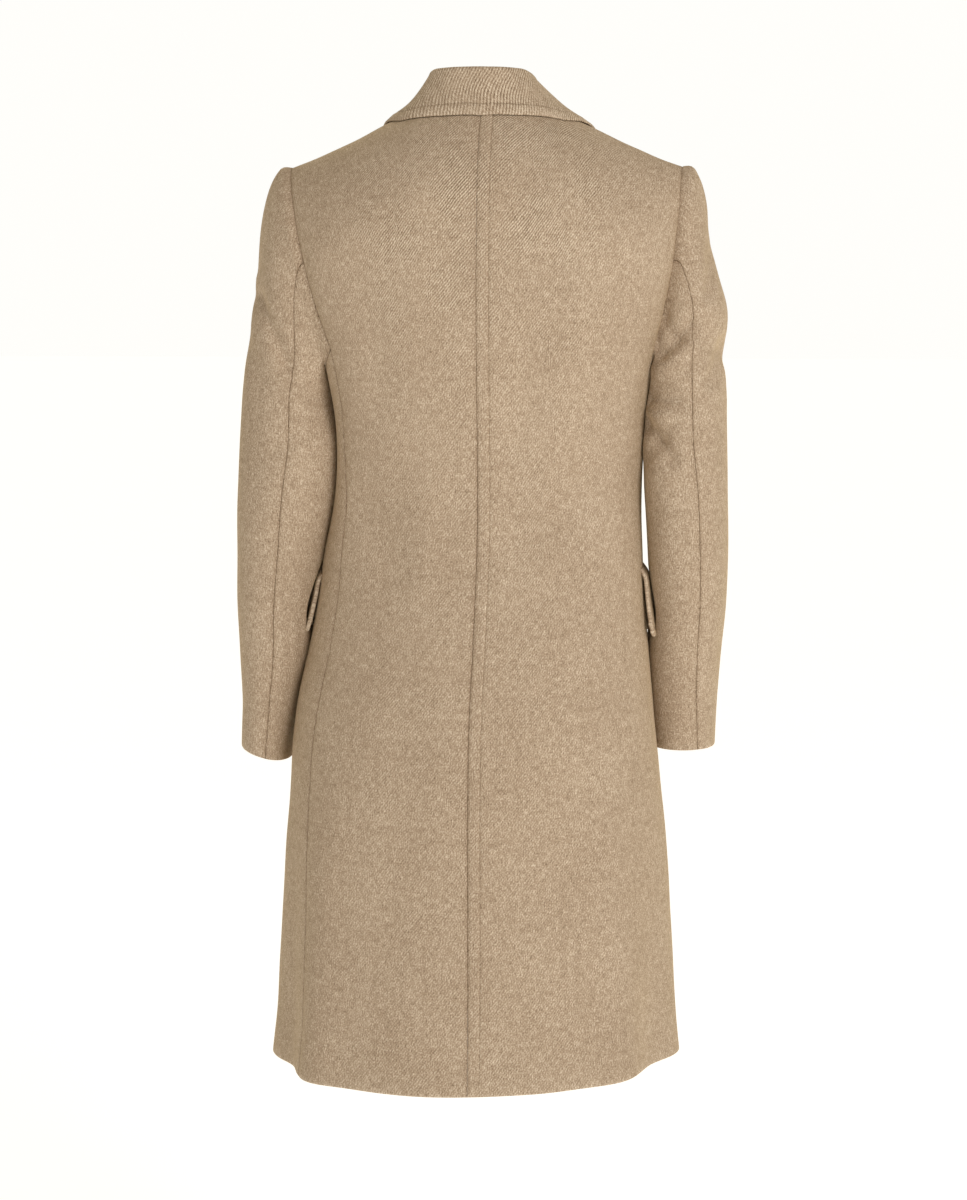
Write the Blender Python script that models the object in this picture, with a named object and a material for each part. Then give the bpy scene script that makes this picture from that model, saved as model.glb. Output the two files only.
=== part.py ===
"""Tailored wool coat of knee length, in the shape it keeps when worn.

Frame: +Z is up, the back of the coat faces +Y and the wearer's left is +X.
The origin lies midway between the two points where a shoulder seam meets the collar.
Sizes are in millimetres and become metres when a mesh is made.

A point of the body cloth is found by an angle and a reach. The angle goes round from the
centre back, positive to the left. The reach is the length of cloth down from the shoulder ridge.
"""

import math

import bpy
import numpy as np

MM = 0.001
LEFT, RIGHT = 1, -1

# Cloth
WALL = 2.5
SEAM_GAP = 0.3
FLAP_WALL = 4.4
LAPEL_GAP = 0.9
LAPEL_STAND_OFF = 2.6
FLAP_GAP = 0.7
WOOL_COLOR, WOOL_ROUGHNESS = (0.45, 0.33, 0.21), 0.9
HORN_COLOR, HORN_ROUGHNESS = (0.09, 0.05, 0.03), 0.35

# Radii that turn a gap at a seam into an angle
BODY_RADIUS = 130.0
SLEEVE_RADIUS = 30.0

# Shoulders and neck
SHOULDER_RADIUS = 110.0
NECK_ANGLE = 18.8
NECK_DROP = 19.5
GORGE_ANGLE = 16.3
GORGE_REACH = 72.5

# Front edge, lapels and buttons
FRONT_EXTENSION = 22.0
BREAK_LEVEL = -290.0
GORGE_X, GORGE_LEVEL = 62.0, -20.0
LAP_LIFT = WALL + 0.8
LAP_FADE = (27.0, 48.0)
LAPEL_TIP_X, LAPEL_TIP_LEVEL = 120.0, -86.0
LAPEL_BELLY = 9.0
LAPEL_FOOT_EASE = 4.0
LAPEL_TOP_SHARE = 0.985
LAPEL_FOOT_SHARES = {RIGHT: (0.0, 0.02), LEFT: (0.3, 0.24)}
NOTCH_X, NOTCH_LEVEL, NOTCH_SHARE = 96.0, -34.0, 0.6
BUTTON_LEVELS = (-322.0, -424.0, -526.0)
BUTTON_RADIUS = 13.0
BUTTON_SIDES = 24
BUTTON_GAP = 0.55
# Button section: radius share, height
BUTTON_SECTION = ((0.9, 0.0), (1.0, 1.0), (1.0, 2.6), (0.93, 3.6), (0.8, 3.7), (0.72, 3.0))

# Hem
HEM_LEVEL = -1001.0
HEM_TILT = 5.0
HEM_SIDE_RISE = 4.0
FLUTE_START = -600.0

# Pocket flaps
FLAP_ANGLES = (80.0, 137.0)
FLAP_LEVELS = (-481.0, -549.0)
FLAP_STAND_OFF = 3.6
FLAP_LENGTH = 150.0
FLAP_CORNER, FLAP_CORNER_DEPTH = 12.0, 0.6

# Counts of faces along each piece
BACK_COLUMNS = 10
SIDE_COLUMNS = 10
FRONT_COLUMNS = 10
SKIRT_ROWS = 16
YOKE_ROWS = 13
NECK_ROWS = 3
UPPER_SLEEVE_COLUMNS = 11
UNDER_SLEEVE_COLUMNS = 9
CAP_ROWS = 9
ARM_ROWS = 12
COLLAR_COLUMNS = 30
FLAP_COLUMNS, FLAP_ROWS = 12, 5
LAPEL_COLUMNS, LAPEL_ROWS = 12, 5


class Table:
    """Rows of numbers, read smoothly between rows by the first column."""

    def __init__(self, *rows):
        table = np.array(sorted(rows), float)
        self.keys = table[:, 0]
        self.values = table[:, 1:]
        self.slopes = np.gradient(self.values, self.keys, axis=0)

    def at(self, key):
        key = min(max(key, self.keys[0]), self.keys[-1])
        i = int(np.clip(np.searchsorted(self.keys, key) - 1, 0, len(self.keys) - 2))
        step = self.keys[i + 1] - self.keys[i]
        t = (key - self.keys[i]) / step
        return (
            self.values[i] * (2 * t**3 - 3 * t**2 + 1)
            + self.slopes[i] * step * (t**3 - 2 * t**2 + t)
            + self.values[i + 1] * (3 * t**2 - 2 * t**3)
            + self.slopes[i + 1] * step * (t**3 - t**2)
        )


# Body: level, half width, back depth, front depth, sway to the left, squareness
BODY = Table(
    (40.0, 216.0, 104.0, 98.0, 0.0, 2.6),
    (-60.0, 216.0, 112.0, 106.0, 0.0, 2.6),
    (-145.0, 205.0, 120.0, 114.0, 0.0, 2.6),
    (-210.0, 192.0, 122.0, 120.0, 0.0, 2.5),
    (-260.0, 179.0, 119.0, 124.0, 0.0, 2.4),
    (-300.0, 171.0, 114.0, 122.0, 0.0, 2.3),
    (-350.0, 166.0, 108.0, 117.0, 0.0, 2.25),
    (-405.0, 164.0, 105.0, 113.0, 0.0, 2.2),
    (-459.0, 165.5, 109.0, 112.0, 0.5, 2.2),
    (-500.0, 168.0, 117.0, 114.0, 1.5, 2.15),
    (-555.0, 175.0, 129.0, 118.0, 4.0, 2.1),
    (-620.0, 184.5, 142.0, 124.0, 8.0, 2.1),
    (-700.0, 194.5, 152.0, 132.0, 10.0, 2.1),
    (-770.0, 202.0, 158.0, 139.0, 10.5, 2.1),
    (-838.0, 205.8, 164.0, 146.0, 10.5, 2.1),
    (-893.0, 208.5, 170.0, 151.0, 10.5, 2.1),
    (-948.0, 211.0, 176.0, 156.0, 10.5, 2.1),
    (-1010.0, 216.5, 184.0, 162.0, 10.5, 2.1),
)
TOP_HALF_WIDTH, TOP_SQUARENESS = 216.0, 2.6

# Shoulder ridge: distance from the centre, level
RIDGE = Table(
    (-30.0, 12.5), (0.0, 15.5), (30.0, 12.5), (55.0, 6.0), (72.0, 0.0), (90.0, -9.5), (113.0, -21.0),
    (135.0, -32.0), (157.0, -42.0), (181.0, -52.0), (203.0, -59.0), (217.0, -62.5),
)

# Seams of the body: level, centre back angle, left side seam angle, right side seam angle
SEAMS = Table(
    (40.0, 0.0, 54.0, -71.0),
    (-247.0, 0.0, 54.0, -71.0),
    (-330.0, 0.0, 56.5, -66.0),
    (-403.0, 0.0, 58.2, -62.0),
    (-506.0, 0.0, 59.2, -60.0),
    (-652.0, -1.0, 59.2, -60.5),
    (-768.0, -1.4, 56.0, -58.0),
    (-971.0, -1.8, 53.5, -57.0),
    (-1010.0, -1.8, 53.0, -57.0),
)

# Flutes of the hem: angle, half spread in degrees, height at the hem
FLUTES = (
    (46.0, 9.0, 9.0),
    (65.0, 9.0, -9.0),
    (86.0, 9.0, 4.0),
    (10.0, 16.0, 3.0),
    (-46.0, 9.0, 6.0),
    (-66.0, 10.0, -10.0),
    (-86.0, 8.0, 4.0),
    (112.0, 10.0, -7.0),
    (134.0, 11.0, 8.0),
    (-110.0, 10.0, -6.0),
    (-136.0, 12.0, 7.0),
)

# Swell of the left side over the hip: level, height
SIDE_SWELL = Table(
    (40.0, 0.0), (-240.0, 0.0), (-290.0, 0.0), (-345.0, 0.4), (-405.0, 4.0), (-459.0, 7.0), (-510.0, 7.5),
    (-560.0, 7.5), (-620.0, 8.5), (-665.0, 7.0), (-707.0, 3.5), (-770.0, 0.8), (-838.0, 0.0), (-1010.0, 0.0),
)
SWELL_ANGLE, SWELL_SPREAD = 92.0, 26.0

# Armhole: level and angle up the back, angle and level under the arm, level and angle up the front
ARMHOLE_BACK = {
    LEFT: Table(
        (-40.0, 63.5), (-66.0, 63.5), (-105.0, 60.6), (-150.0, 58.6), (-205.0, 56.4), (-247.0, 54.0),
    ),
    RIGHT: Table(
        (-40.0, 63.5), (-66.0, 63.5), (-105.0, 65.4), (-150.0, 68.4), (-205.0, 71.0), (-247.0, 71.0),
    ),
}
ARMHOLE_UNDER = {
    LEFT: Table(
        (54.0, -247.0), (60.5, -259.0), (71.0, -269.5), (90.0, -275.0), (103.0, -271.0), (112.0, -262.0),
        (118.5, -242.0),
    ),
    RIGHT: Table(
        (71.0, -247.0), (74.5, -259.0), (81.0, -268.0), (92.0, -273.0), (103.0, -270.0), (112.0, -262.0),
        (118.5, -242.0),
    ),
}
ARMHOLE_FRONT = Table((-40.0, 116.5), (-100.0, 117.5), (-150.0, 119.3), (-200.0, 120.3), (-242.0, 118.5))
TIP_BACK_ANGLE, TIP_FRONT_ANGLE = 63.5, 116.5
BACK_CORNER_ANGLE, BACK_CORNER_LEVEL = {LEFT: 54.0, RIGHT: 71.0}, -247.0
FRONT_CORNER_ANGLE, FRONT_CORNER_LEVEL = 118.5, -242.0

# Sleeves: level, outer edge, inner edge, middle in depth, half depth
SLEEVES = {
    LEFT: Table(
        (-300.0, 258.0, 162.0, 5.0, 64.0),
        (-350.0, 261.0, 158.0, 7.0, 65.0),
        (-408.0, 263.8, 168.5, 2.0, 63.0),
        (-460.0, 265.5, 174.0, -4.0, 62.0),
        (-516.0, 267.0, 186.0, -9.0, 61.0),
        (-570.0, 265.5, 195.0, -14.0, 60.0),
        (-624.0, 263.8, 205.0, -19.0, 59.0),
        (-674.0, 265.0, 212.0, -23.0, 58.5),
    ),
    RIGHT: Table(
        (-300.0, 251.5, 164.0, 2.0, 62.0),
        (-350.0, 252.5, 162.0, 2.0, 62.5),
        (-408.0, 253.6, 166.0, -1.0, 62.0),
        (-460.0, 254.5, 169.5, -8.0, 61.0),
        (-516.0, 252.5, 173.5, -20.0, 58.5),
        (-570.0, 248.0, 168.5, -36.0, 55.0),
        (-624.0, 244.5, 169.5, -51.0, 52.0),
        (-674.0, 242.5, 172.5, -62.0, 50.0),
    ),
}
SLEEVE_TOP, CUFF_LEVEL = -300.0, {LEFT: -680.0, RIGHT: -674.0}
SLEEVE_SQUARENESS = 2.2
ARMHOLE_GAP, UNDERARM_GAP, UNDERARM_RISE = 0.45, 2.6, 0.9
CAP_OUT_POWER, CAP_DOWN_POWER = 0.77, 2.2
CLEARING_BLEND = 3.0

# Sleeve seams: place along the sleeve (0 armhole, 1 under the cap, 2 cuff), back seam, front seam
SLEEVE_SEAMS = {
    LEFT: Table(
        (0.0, 75.5, 266.0), (0.35, 87.0, 264.6), (0.8, 100.5, 262.6), (1.02, 98.5, 262.0),
        (1.25, 93.0, 263.0), (1.5, 96.0, 264.0), (2.0, 104.5, 266.0),
    ),
    RIGHT: Table(
        (0.0, 80.5, 266.0), (0.4, 76.5, 264.4), (0.7, 70.5, 263.2), (0.9, 76.5, 262.4), (1.05, 77.0, 262.2),
        (1.25, 71.0, 263.0), (1.5, 70.5, 264.0), (1.75, 67.5, 265.0), (2.0, 62.0, 266.0),
    ),
}

# Sleeve folds: level, angle, half spread in degrees, half width, height, drop of the fold per degree
SLEEVE_FOLDS = {
    LEFT: (
        (-190.0, 15.0, 45.0, 60.0, -6.0, 0.0),
        (-262.0, 48.0, 38.0, 17.0, -4.0, -0.7),
        (-350.0, 130.0, 40.0, 18.0, 3.0, 0.4),
        (-330.0, 250.0, 50.0, 16.0, -4.0, 0.3),
        (-385.0, 240.0, 50.0, 18.0, 3.0, 0.3),
    ),
    RIGHT: (
        (-130.0, 10.0, 45.0, 24.0, -4.0, 0.0),
        (-207.0, 12.0, 45.0, 30.0, 7.0, 0.2),
        (-246.0, 30.0, 50.0, 12.0, -4.0, 0.3),
        (-225.0, 112.0, 30.0, 14.0, -4.0, 0.9),
        (-290.0, 118.0, 40.0, 13.0, -4.0, 0.2),
        (-335.0, 120.0, 40.0, 14.0, -4.0, -0.8),
        (-330.0, 250.0, 50.0, 16.0, -4.0, 0.3),
    ),
}

# Clearance of the sleeve from the body: level, gap (wider where the pocket flap lies between them)
SLEEVE_GAPS = Table(
    (-40.0, -60.0), (-200.0, -30.0), (-240.0, -5.0), (-258.0, 2.2), (-275.0, 3.3), (-300.0, 2.6),
    (-360.0, 2.6), (-440.0, 1.0), (-466.0, 1.8), (-482.0, 6.8), (-549.0, 10.6), (-566.0, 6.4),
    (-600.0, 1.6), (-700.0, 1.0),
)

# Collar: place from centre back to front end, roll (across, depth, level), edge (angle, reach)
COLLAR = Table(
    (0.0, 0.0, 57.0, 38.5, 0.0, 78.0),
    (0.2, 28.0, 50.0, 38.5, 12.0, 67.0),
    (0.36, 45.0, 30.0, 37.5, 22.0, 45.0),
    (0.52, 52.0, 2.0, 33.0, 27.6, 4.0),
    (0.68, 55.0, -26.0, 23.0, 30.0, -36.0),
    (0.84, 57.5, -48.0, 7.0, 31.3, -56.0),
    (1.0, 61.0, -63.0, -12.0, 31.4, -67.0),
)
COLLAR_FOLD_RADIUS = 3.0
COLLAR_INSET, COLLAR_RISE = 0.4, 0.6
COLLAR_LAY_GAP = 0.6
COLLAR_LEAN, LEAN_LEVELS = 4.5, (-12.0, 33.0)
FALL_HOLLOW = 0.5
STAND_STEPS, FOLD_STEPS, FALL_STEPS = 3, 4, 6


def lerp(a, b, t):
    return a + (b - a) * t


def smooth_step(low, high, value):
    t = min(max((value - low) / (high - low), 0.0), 1.0)
    return t * t * (3.0 - 2.0 * t)


def superellipse(angle, squareness):
    """Unit section point at an angle from the centre back, as (across, back)."""
    s, c = math.sin(angle), math.cos(angle)
    size = (abs(s) ** squareness + abs(c) ** squareness) ** (-1.0 / squareness)
    return size * s, size * c


def ridge_level(angle):
    """Level of the shoulder ridge above the cloth at this angle."""
    across = TOP_HALF_WIDTH * superellipse(angle, TOP_SQUARENESS)[0]
    return float(RIDGE.at(abs(across))[0])


def drop_of(reach):
    """Fall in level over a length of cloth from the shoulder ridge."""
    quarter = SHOULDER_RADIUS * math.pi / 2
    if reach < quarter:
        return SHOULDER_RADIUS * (1.0 - math.cos(reach / SHOULDER_RADIUS))
    return SHOULDER_RADIUS + reach - quarter


def reach_of(drop):
    """Length of cloth from the shoulder ridge down to a drop in level."""
    if drop < SHOULDER_RADIUS:
        return SHOULDER_RADIUS * math.acos(1.0 - max(drop, 0.0) / SHOULDER_RADIUS)
    return SHOULDER_RADIUS * math.pi / 2 + drop - SHOULDER_RADIUS


def reach_at(angle, level):
    return reach_of(ridge_level(angle) - level)


def level_at(angle, reach):
    return ridge_level(angle) - drop_of(abs(reach))


def flute(angle, level):
    """Outward wave of the skirt, full at the hem and none above FLUTE_START."""
    share = min(max((FLUTE_START - level) / (FLUTE_START - HEM_LEVEL), 0.0), 1.1) ** 1.6
    degrees = math.degrees(math.atan2(math.sin(angle), math.cos(angle)))
    wave = sum(high * math.exp(-(((degrees - middle) / spread) ** 2)) for middle, spread, high in FLUTES)
    return share * wave


def side_swell(level):
    """Outward swell of the left side."""
    return float(SIDE_SWELL.at(level)[0])


def torso(angle, reach):
    """Outer point of the body cloth. A reach below zero lies past the ridge, on the other side."""
    if reach < 0.0:
        angle = math.copysign(math.pi, angle) - angle
        reach = -reach
    level = level_at(angle, reach)
    half_width, back, front, sway, squareness = BODY.at(level)
    across, behind = superellipse(angle, squareness)
    rounding = math.sin(min(reach / SHOULDER_RADIUS, math.pi / 2))
    depth = back if behind > 0.0 else front
    wave = flute(angle, level)
    wave += side_swell(level) * math.exp(-(((math.degrees(angle) - SWELL_ANGLE) / SWELL_SPREAD) ** 2))
    return np.array([
        sway + half_width * across + wave * math.sin(angle),
        depth * behind * rounding + wave * math.cos(angle),
        level,
    ])


def normal_of(surface, angle, reach):
    """Outward unit normal of a surface given as a function of angle and reach."""
    turn, step = 0.004, 0.8
    along = surface(angle + turn, reach) - surface(angle - turn, reach)
    down = surface(angle, reach + step) - surface(angle, reach - step)
    normal = np.cross(along, down)
    return normal / np.linalg.norm(normal)


def front_angle(side, x, level):
    """Angle of the front cloth at a distance x from the centre line, positive to the panel's own side."""
    half_width, _, _, sway, squareness = BODY.at(level)
    ratio = x / half_width - side * sway / half_width
    behind = -((1.0 - abs(ratio) ** squareness) ** (1.0 / squareness))
    angle = math.atan2(ratio, behind)
    return side * (angle if angle > 0.0 else angle + 2.0 * math.pi)


def front_cloth(side):
    """Outer surface of one front. The right front laps over the left one at the centre."""

    def surface(angle, reach):
        point = torso(angle, reach)
        if side == LEFT or math.cos(angle) > -0.5:
            return point
        own = side * point[0]
        lift = LAP_LIFT * (1.0 - smooth_step(*LAP_FADE, own))
        if lift <= 0.0:
            return point
        return point + lift * normal_of(torso, angle, reach)

    return surface


def roll_line_x(level):
    """Distance of the lapel's roll line from the centre, positive to the panel's own side."""
    share = (level - BREAK_LEVEL) / (GORGE_LEVEL - BREAK_LEVEL)
    return lerp(-FRONT_EXTENSION, GORGE_X, min(max(share, 0.0), 1.0))


def hem_level(angle):
    s = math.sin(angle)
    return HEM_LEVEL - HEM_TILT * s + HEM_SIDE_RISE * s * s


def clear_of_body(side, point, gap):
    """Move a sleeve point out along X until it is clear of the body cloth."""
    half_width, back, front, sway, squareness = BODY.at(point[2])
    depth = back if point[1] > 0.0 else front
    ratio = min(abs(point[1]) / depth, 1.0)
    limit = half_width * (1.0 - ratio**squareness) ** (1.0 / squareness) + gap
    if side == LEFT:
        limit += side_swell(point[2])
    own = side * (point[0] - sway)
    if own < limit + CLEARING_BLEND:
        t = max(own - limit + CLEARING_BLEND, 0.0) / (2.0 * CLEARING_BLEND)
        own = limit + CLEARING_BLEND * t * t
    return np.array([sway + side * own, point[1], point[2]])


def thicken(outer, normals, faces, wall):
    """Closed cloth wall under an outer skin: points in metres and outward faces."""
    outer = np.asarray(outer, float)
    inner = outer - wall * np.asarray(normals, float)
    count = len(outer)
    sign = 0.0
    for face in faces:
        a, b, c = (outer[i] for i in face[:3])
        sign += float(np.dot(np.cross(b - a, c - a), normals[face[0]]))
    if sign < 0.0:
        faces = [face[::-1] for face in faces]
    edges = {(face[i], face[(i + 1) % len(face)]) for face in faces for i in range(len(face))}
    rim = [(b, a, a + count, b + count) for a, b in sorted(edges) if (b, a) not in edges]
    skin = [tuple(face) for face in faces]
    inside = [tuple(i + count for i in reversed(face)) for face in faces]
    return np.vstack([outer, inner]) * MM, skin + inside + rim


def grid_faces(index):
    """Four-sided faces of a grid, whose points (i, j) are numbered in index."""
    return [
        (index[i, j], index[i + 1, j], index[i + 1, j + 1], index[i, j + 1])
        for i, j in index
        if (i + 1, j + 1) in index
    ]


def sheet_from(surface, places, wall=WALL, lift=0.0):
    """Cloth wall through places {(i, j): (angle, reach)} of a surface, lifted off it by lift(i, j)."""
    index = {key: number for number, key in enumerate(places)}
    outer, normals = [], []
    for key, (angle, reach) in places.items():
        normal = normal_of(surface, angle, reach)
        height = lift(*key) if callable(lift) else lift
        outer.append(surface(angle, reach) + height * normal)
        normals.append(normal)
    return thicken(outer, normals, grid_faces(index), wall)


def grid_normals(points):
    """Unit normals of a grid of points, from its neighbours."""
    normal = np.cross(np.gradient(points, axis=0), np.gradient(points, axis=1))
    return normal / np.linalg.norm(normal, axis=2, keepdims=True)


def sheet_from_grid(points, normals, wall):
    """Cloth wall under a plain grid of outer points."""
    columns, rows = points.shape[:2]
    index = {(i, j): i * rows + j for i in range(columns) for j in range(rows)}
    return thicken(points.reshape(-1, 3), normals.reshape(-1, 3), grid_faces(index), wall)


def seam_angle(which, level):
    return math.radians(SEAMS.at(level)[which])


def side_seam(side, level):
    return seam_angle(1 if side == LEFT else 2, level)


def neck_reach(angle):
    """Reach of the back neck edge, and of the shoulder seam beyond it."""
    share = abs(math.degrees(angle)) / NECK_ANGLE
    return max(reach_of(NECK_DROP * max(1.0 - share * share, 0.0)), SEAM_GAP / 2)


def build_back(side):
    """Back panel from the centre back seam to the side seam and the armhole."""
    inset = SEAM_GAP / 2 / BODY_RADIUS
    edge_start = reach_at(math.radians(BACK_CORNER_ANGLE[side]), BACK_CORNER_LEVEL)
    tip = side * math.radians(TIP_BACK_ANGLE)
    places = {}
    for i in range(BACK_COLUMNS + 1):
        share = i / BACK_COLUMNS

        def angle_between(level, edge):
            centre = seam_angle(0, level) + side * inset
            return lerp(centre, edge - side * inset, share)

        low = hem_level(angle_between(HEM_LEVEL, side_seam(side, HEM_LEVEL)))
        for j in range(SKIRT_ROWS + 1):
            level = lerp(low, BACK_CORNER_LEVEL, j / SKIRT_ROWS)
            angle = angle_between(level, side_seam(side, level))
            places[i, j] = angle, reach_at(angle, level)
        top = neck_reach(angle_between(0.0, tip))
        start = places[i, SKIRT_ROWS][1]
        for k in range(1, YOKE_ROWS + 1):
            t = k / YOKE_ROWS
            edge_level = level_at(tip, lerp(edge_start, SEAM_GAP / 2, t))
            edge = side * math.radians(ARMHOLE_BACK[side].at(edge_level)[0])
            even = lerp(neck_reach(0.0), SEAM_GAP / 2, share)
            reach = lerp(start, even, t) + (top - even) * t**3
            places[i, SKIRT_ROWS + k] = angle_between(edge_level, edge), reach
    return sheet_from(torso, places)


def front_edge(side, level):
    """Angle of the front edge, along the roll line above the break point."""
    return front_angle(side, roll_line_x(level), level)


def build_side(side):
    """Side panel under the arm, from the side seam of the back to the front panel."""
    inset = side * SEAM_GAP / 2 / BODY_RADIUS
    corner = side * math.radians(FRONT_CORNER_ANGLE)
    places = {}
    for i in range(SIDE_COLUMNS + 1):
        share = i / SIDE_COLUMNS

        def angle_at(level):
            return lerp(side_seam(side, level) + inset, corner - inset, share)

        low = hem_level(angle_at(HEM_LEVEL))
        high = ARMHOLE_UNDER[side].at(abs(math.degrees(angle_at(BACK_CORNER_LEVEL))))[0]
        for j in range(SKIRT_ROWS + 1):
            level = lerp(low, high, j / SKIRT_ROWS)
            angle = angle_at(level)
            places[i, j] = angle, reach_at(angle, level)
    return sheet_from(torso, places)


def build_front(side):
    """Front panel from the side panel and the armhole to the front edge and the roll line."""
    inset = side * SEAM_GAP / 2 / BODY_RADIUS
    corner = side * math.radians(FRONT_CORNER_ANGLE)
    places = {}
    for i in range(FRONT_COLUMNS + 1):
        share = i / FRONT_COLUMNS

        def angle_at(level):
            return lerp(corner + inset, front_edge(side, level), share)

        low = hem_level(angle_at(HEM_LEVEL))
        for j in range(SKIRT_ROWS + 1):
            level = lerp(low, FRONT_CORNER_LEVEL, j / SKIRT_ROWS)
            angle = angle_at(level)
            places[i, j] = angle, reach_at(angle, level)
    roll_rows = YOKE_ROWS - NECK_ROWS
    tip_reach = SEAM_GAP / 2
    corner_reach = reach_at(corner, FRONT_CORNER_LEVEL)
    gorge_angle = front_edge(side, GORGE_LEVEL)
    for k in range(1, YOKE_ROWS + 1):
        arm_reach = lerp(corner_reach, tip_reach, k / YOKE_ROWS)
        arm_level = level_at(side * math.radians(TIP_FRONT_ANGLE), arm_reach)
        arm_angle = side * math.radians(ARMHOLE_FRONT.at(arm_level)[0])
        if k <= roll_rows:
            edge_level = lerp(FRONT_CORNER_LEVEL, GORGE_LEVEL, k / roll_rows)
            edge_angle = front_edge(side, edge_level)
            edge_reach = reach_at(edge_angle, edge_level)
        else:
            t = (k - roll_rows) / NECK_ROWS
            edge_angle = lerp(gorge_angle, side * math.radians(180.0 - NECK_ANGLE), t)
            edge_reach = lerp(reach_at(gorge_angle, GORGE_LEVEL), tip_reach, t)
        for i in range(FRONT_COLUMNS + 1):
            share = i / FRONT_COLUMNS
            place = lerp(arm_angle, edge_angle, share), lerp(arm_reach, edge_reach, share)
            places[i, SKIRT_ROWS + k] = place
    return sheet_from(front_cloth(side), places)


class Armhole:
    """Edge of the body cloth round one arm, read by an angle from the shoulder tip round by the back."""

    def __init__(self, side):
        self.halves = [self.line(self.back_places(side)), self.line(self.front_places(side))]

    @staticmethod
    def back_places(side):
        tip = math.radians(TIP_BACK_ANGLE)
        start = reach_at(math.radians(BACK_CORNER_ANGLE[side]), BACK_CORNER_LEVEL)
        for k in range(40):
            level = level_at(tip, lerp(0.0, start, k / 40))
            angle = math.radians(ARMHOLE_BACK[side].at(level)[0])
            yield side * angle, reach_at(angle, level)
        for k in range(21):
            degrees = lerp(BACK_CORNER_ANGLE[side], 90.0, k / 20)
            angle = math.radians(degrees)
            yield side * angle, reach_at(angle, ARMHOLE_UNDER[side].at(degrees)[0])

    @staticmethod
    def front_places(side):
        tip = math.radians(TIP_FRONT_ANGLE)
        start = reach_at(math.radians(FRONT_CORNER_ANGLE), FRONT_CORNER_LEVEL)
        for k in range(40):
            level = level_at(tip, lerp(0.0, start, k / 40))
            angle = math.radians(ARMHOLE_FRONT.at(level)[0])
            yield side * angle, reach_at(angle, level)
        for k in range(21):
            degrees = lerp(FRONT_CORNER_ANGLE, 90.0, k / 20)
            angle = math.radians(degrees)
            yield side * angle, reach_at(angle, ARMHOLE_UNDER[side].at(degrees)[0])

    @staticmethod
    def line(places):
        points = np.array([torso(angle, reach) for angle, reach in places])
        lengths = np.concatenate([[0.0], np.cumsum(np.linalg.norm(np.diff(points, axis=0), axis=1))])
        return lengths / lengths[-1], points

    def at(self, degrees):
        degrees = degrees % 360.0
        lengths, points = self.halves[0 if degrees <= 180.0 else 1]
        share = degrees / 180.0 if degrees <= 180.0 else (360.0 - degrees) / 180.0
        return np.array([np.interp(share, lengths, points[:, k]) for k in range(3)])


def sleeve_cloth(side):
    """Outer surface of a sleeve, by degrees round it and place along it (0 armhole, 1 cap end, 2 cuff)."""
    armhole = Armhole(side)

    def ring(degrees, level):
        outer, inner, middle, half_depth = SLEEVES[side].at(level)
        turn = math.radians(degrees)
        behind, out = superellipse(turn, SLEEVE_SQUARENESS)
        across = (outer + inner) / 2 + (outer - inner) / 2 * out
        return np.array([side * across, middle + half_depth * behind, level])

    def fold(degrees, level):
        total = 0.0
        for middle, angle, spread, width, high, slant in SLEEVE_FOLDS[side]:
            turn = (degrees - angle + 180.0) % 360.0 - 180.0
            off = (level - middle - slant * turn) / width
            total += high * math.exp(-((turn / spread) ** 2) - off * off)
        return total

    def surface(degrees, place):
        if place >= 1.0:
            point = ring(degrees, lerp(SLEEVE_TOP, CUFF_LEVEL[side], place - 1.0))
        else:
            place = max(place, 0.0)
            under = smooth_step(90.0, 130.0, 180.0 - abs(degrees % 360.0 - 180.0))
            gap = lerp(ARMHOLE_GAP, UNDERARM_GAP, under)
            start = armhole.at(degrees) + np.array([side * gap, 0.0, UNDERARM_RISE * under])
            out, down = place**CAP_OUT_POWER, place**CAP_DOWN_POWER
            point = start + (ring(degrees, SLEEVE_TOP) - start) * np.array([out, out, down])
        turn = math.radians(degrees)
        share = smooth_step(0.05, 0.35, place)
        swell = share * fold(degrees, point[2])
        point = point + swell * np.array([side * math.cos(turn), math.sin(turn), 0.0])
        return clear_of_body(side, point, SLEEVE_GAPS.at(point[2])[0])

    return surface


def build_sleeve(side, upper):
    """Upper or under piece of a sleeve, between the back seam and the front seam."""
    surface = sleeve_cloth(side)
    columns = UPPER_SLEEVE_COLUMNS if upper else UNDER_SLEEVE_COLUMNS
    rows = CAP_ROWS + ARM_ROWS
    inset = math.degrees(SEAM_GAP / 2 / SLEEVE_RADIUS)
    points = np.zeros((columns + 1, rows + 1, 3))
    normals = np.zeros_like(points)
    for j in range(rows + 1):
        place = j / CAP_ROWS if j <= CAP_ROWS else 1.0 + (j - CAP_ROWS) / ARM_ROWS
        back, front = SLEEVE_SEAMS[side].at(place)
        first, last = (front - 360.0 + inset, back - inset) if upper else (back + inset, front - inset)
        for i in range(columns + 1):
            degrees = lerp(first, last, i / columns)
            points[i, j] = surface(degrees, place)
            near, far = max(place - 0.01, 0.0), min(place + 0.01, 2.0)
            around = surface(degrees + 1.0, place) - surface(degrees - 1.0, place)
            down = surface(degrees, far) - surface(degrees, near)
            normal = side * np.cross(down, around)
            normals[i, j] = normal / np.linalg.norm(normal)
    return sheet_from_grid(points, normals, WALL)


def neck_place(side, place):
    """Angle and reach of the neck edge, from centre back (0) past the shoulder (0.5) to the gorge (1)."""
    if place <= 0.5:
        angle = math.radians(NECK_ANGLE) * math.sin(place * math.pi)
        return side * angle, neck_reach(angle)
    t = (place - 0.5) * 2.0
    return side * math.radians(lerp(NECK_ANGLE, GORGE_ANGLE, t)), -GORGE_REACH * t


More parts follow.
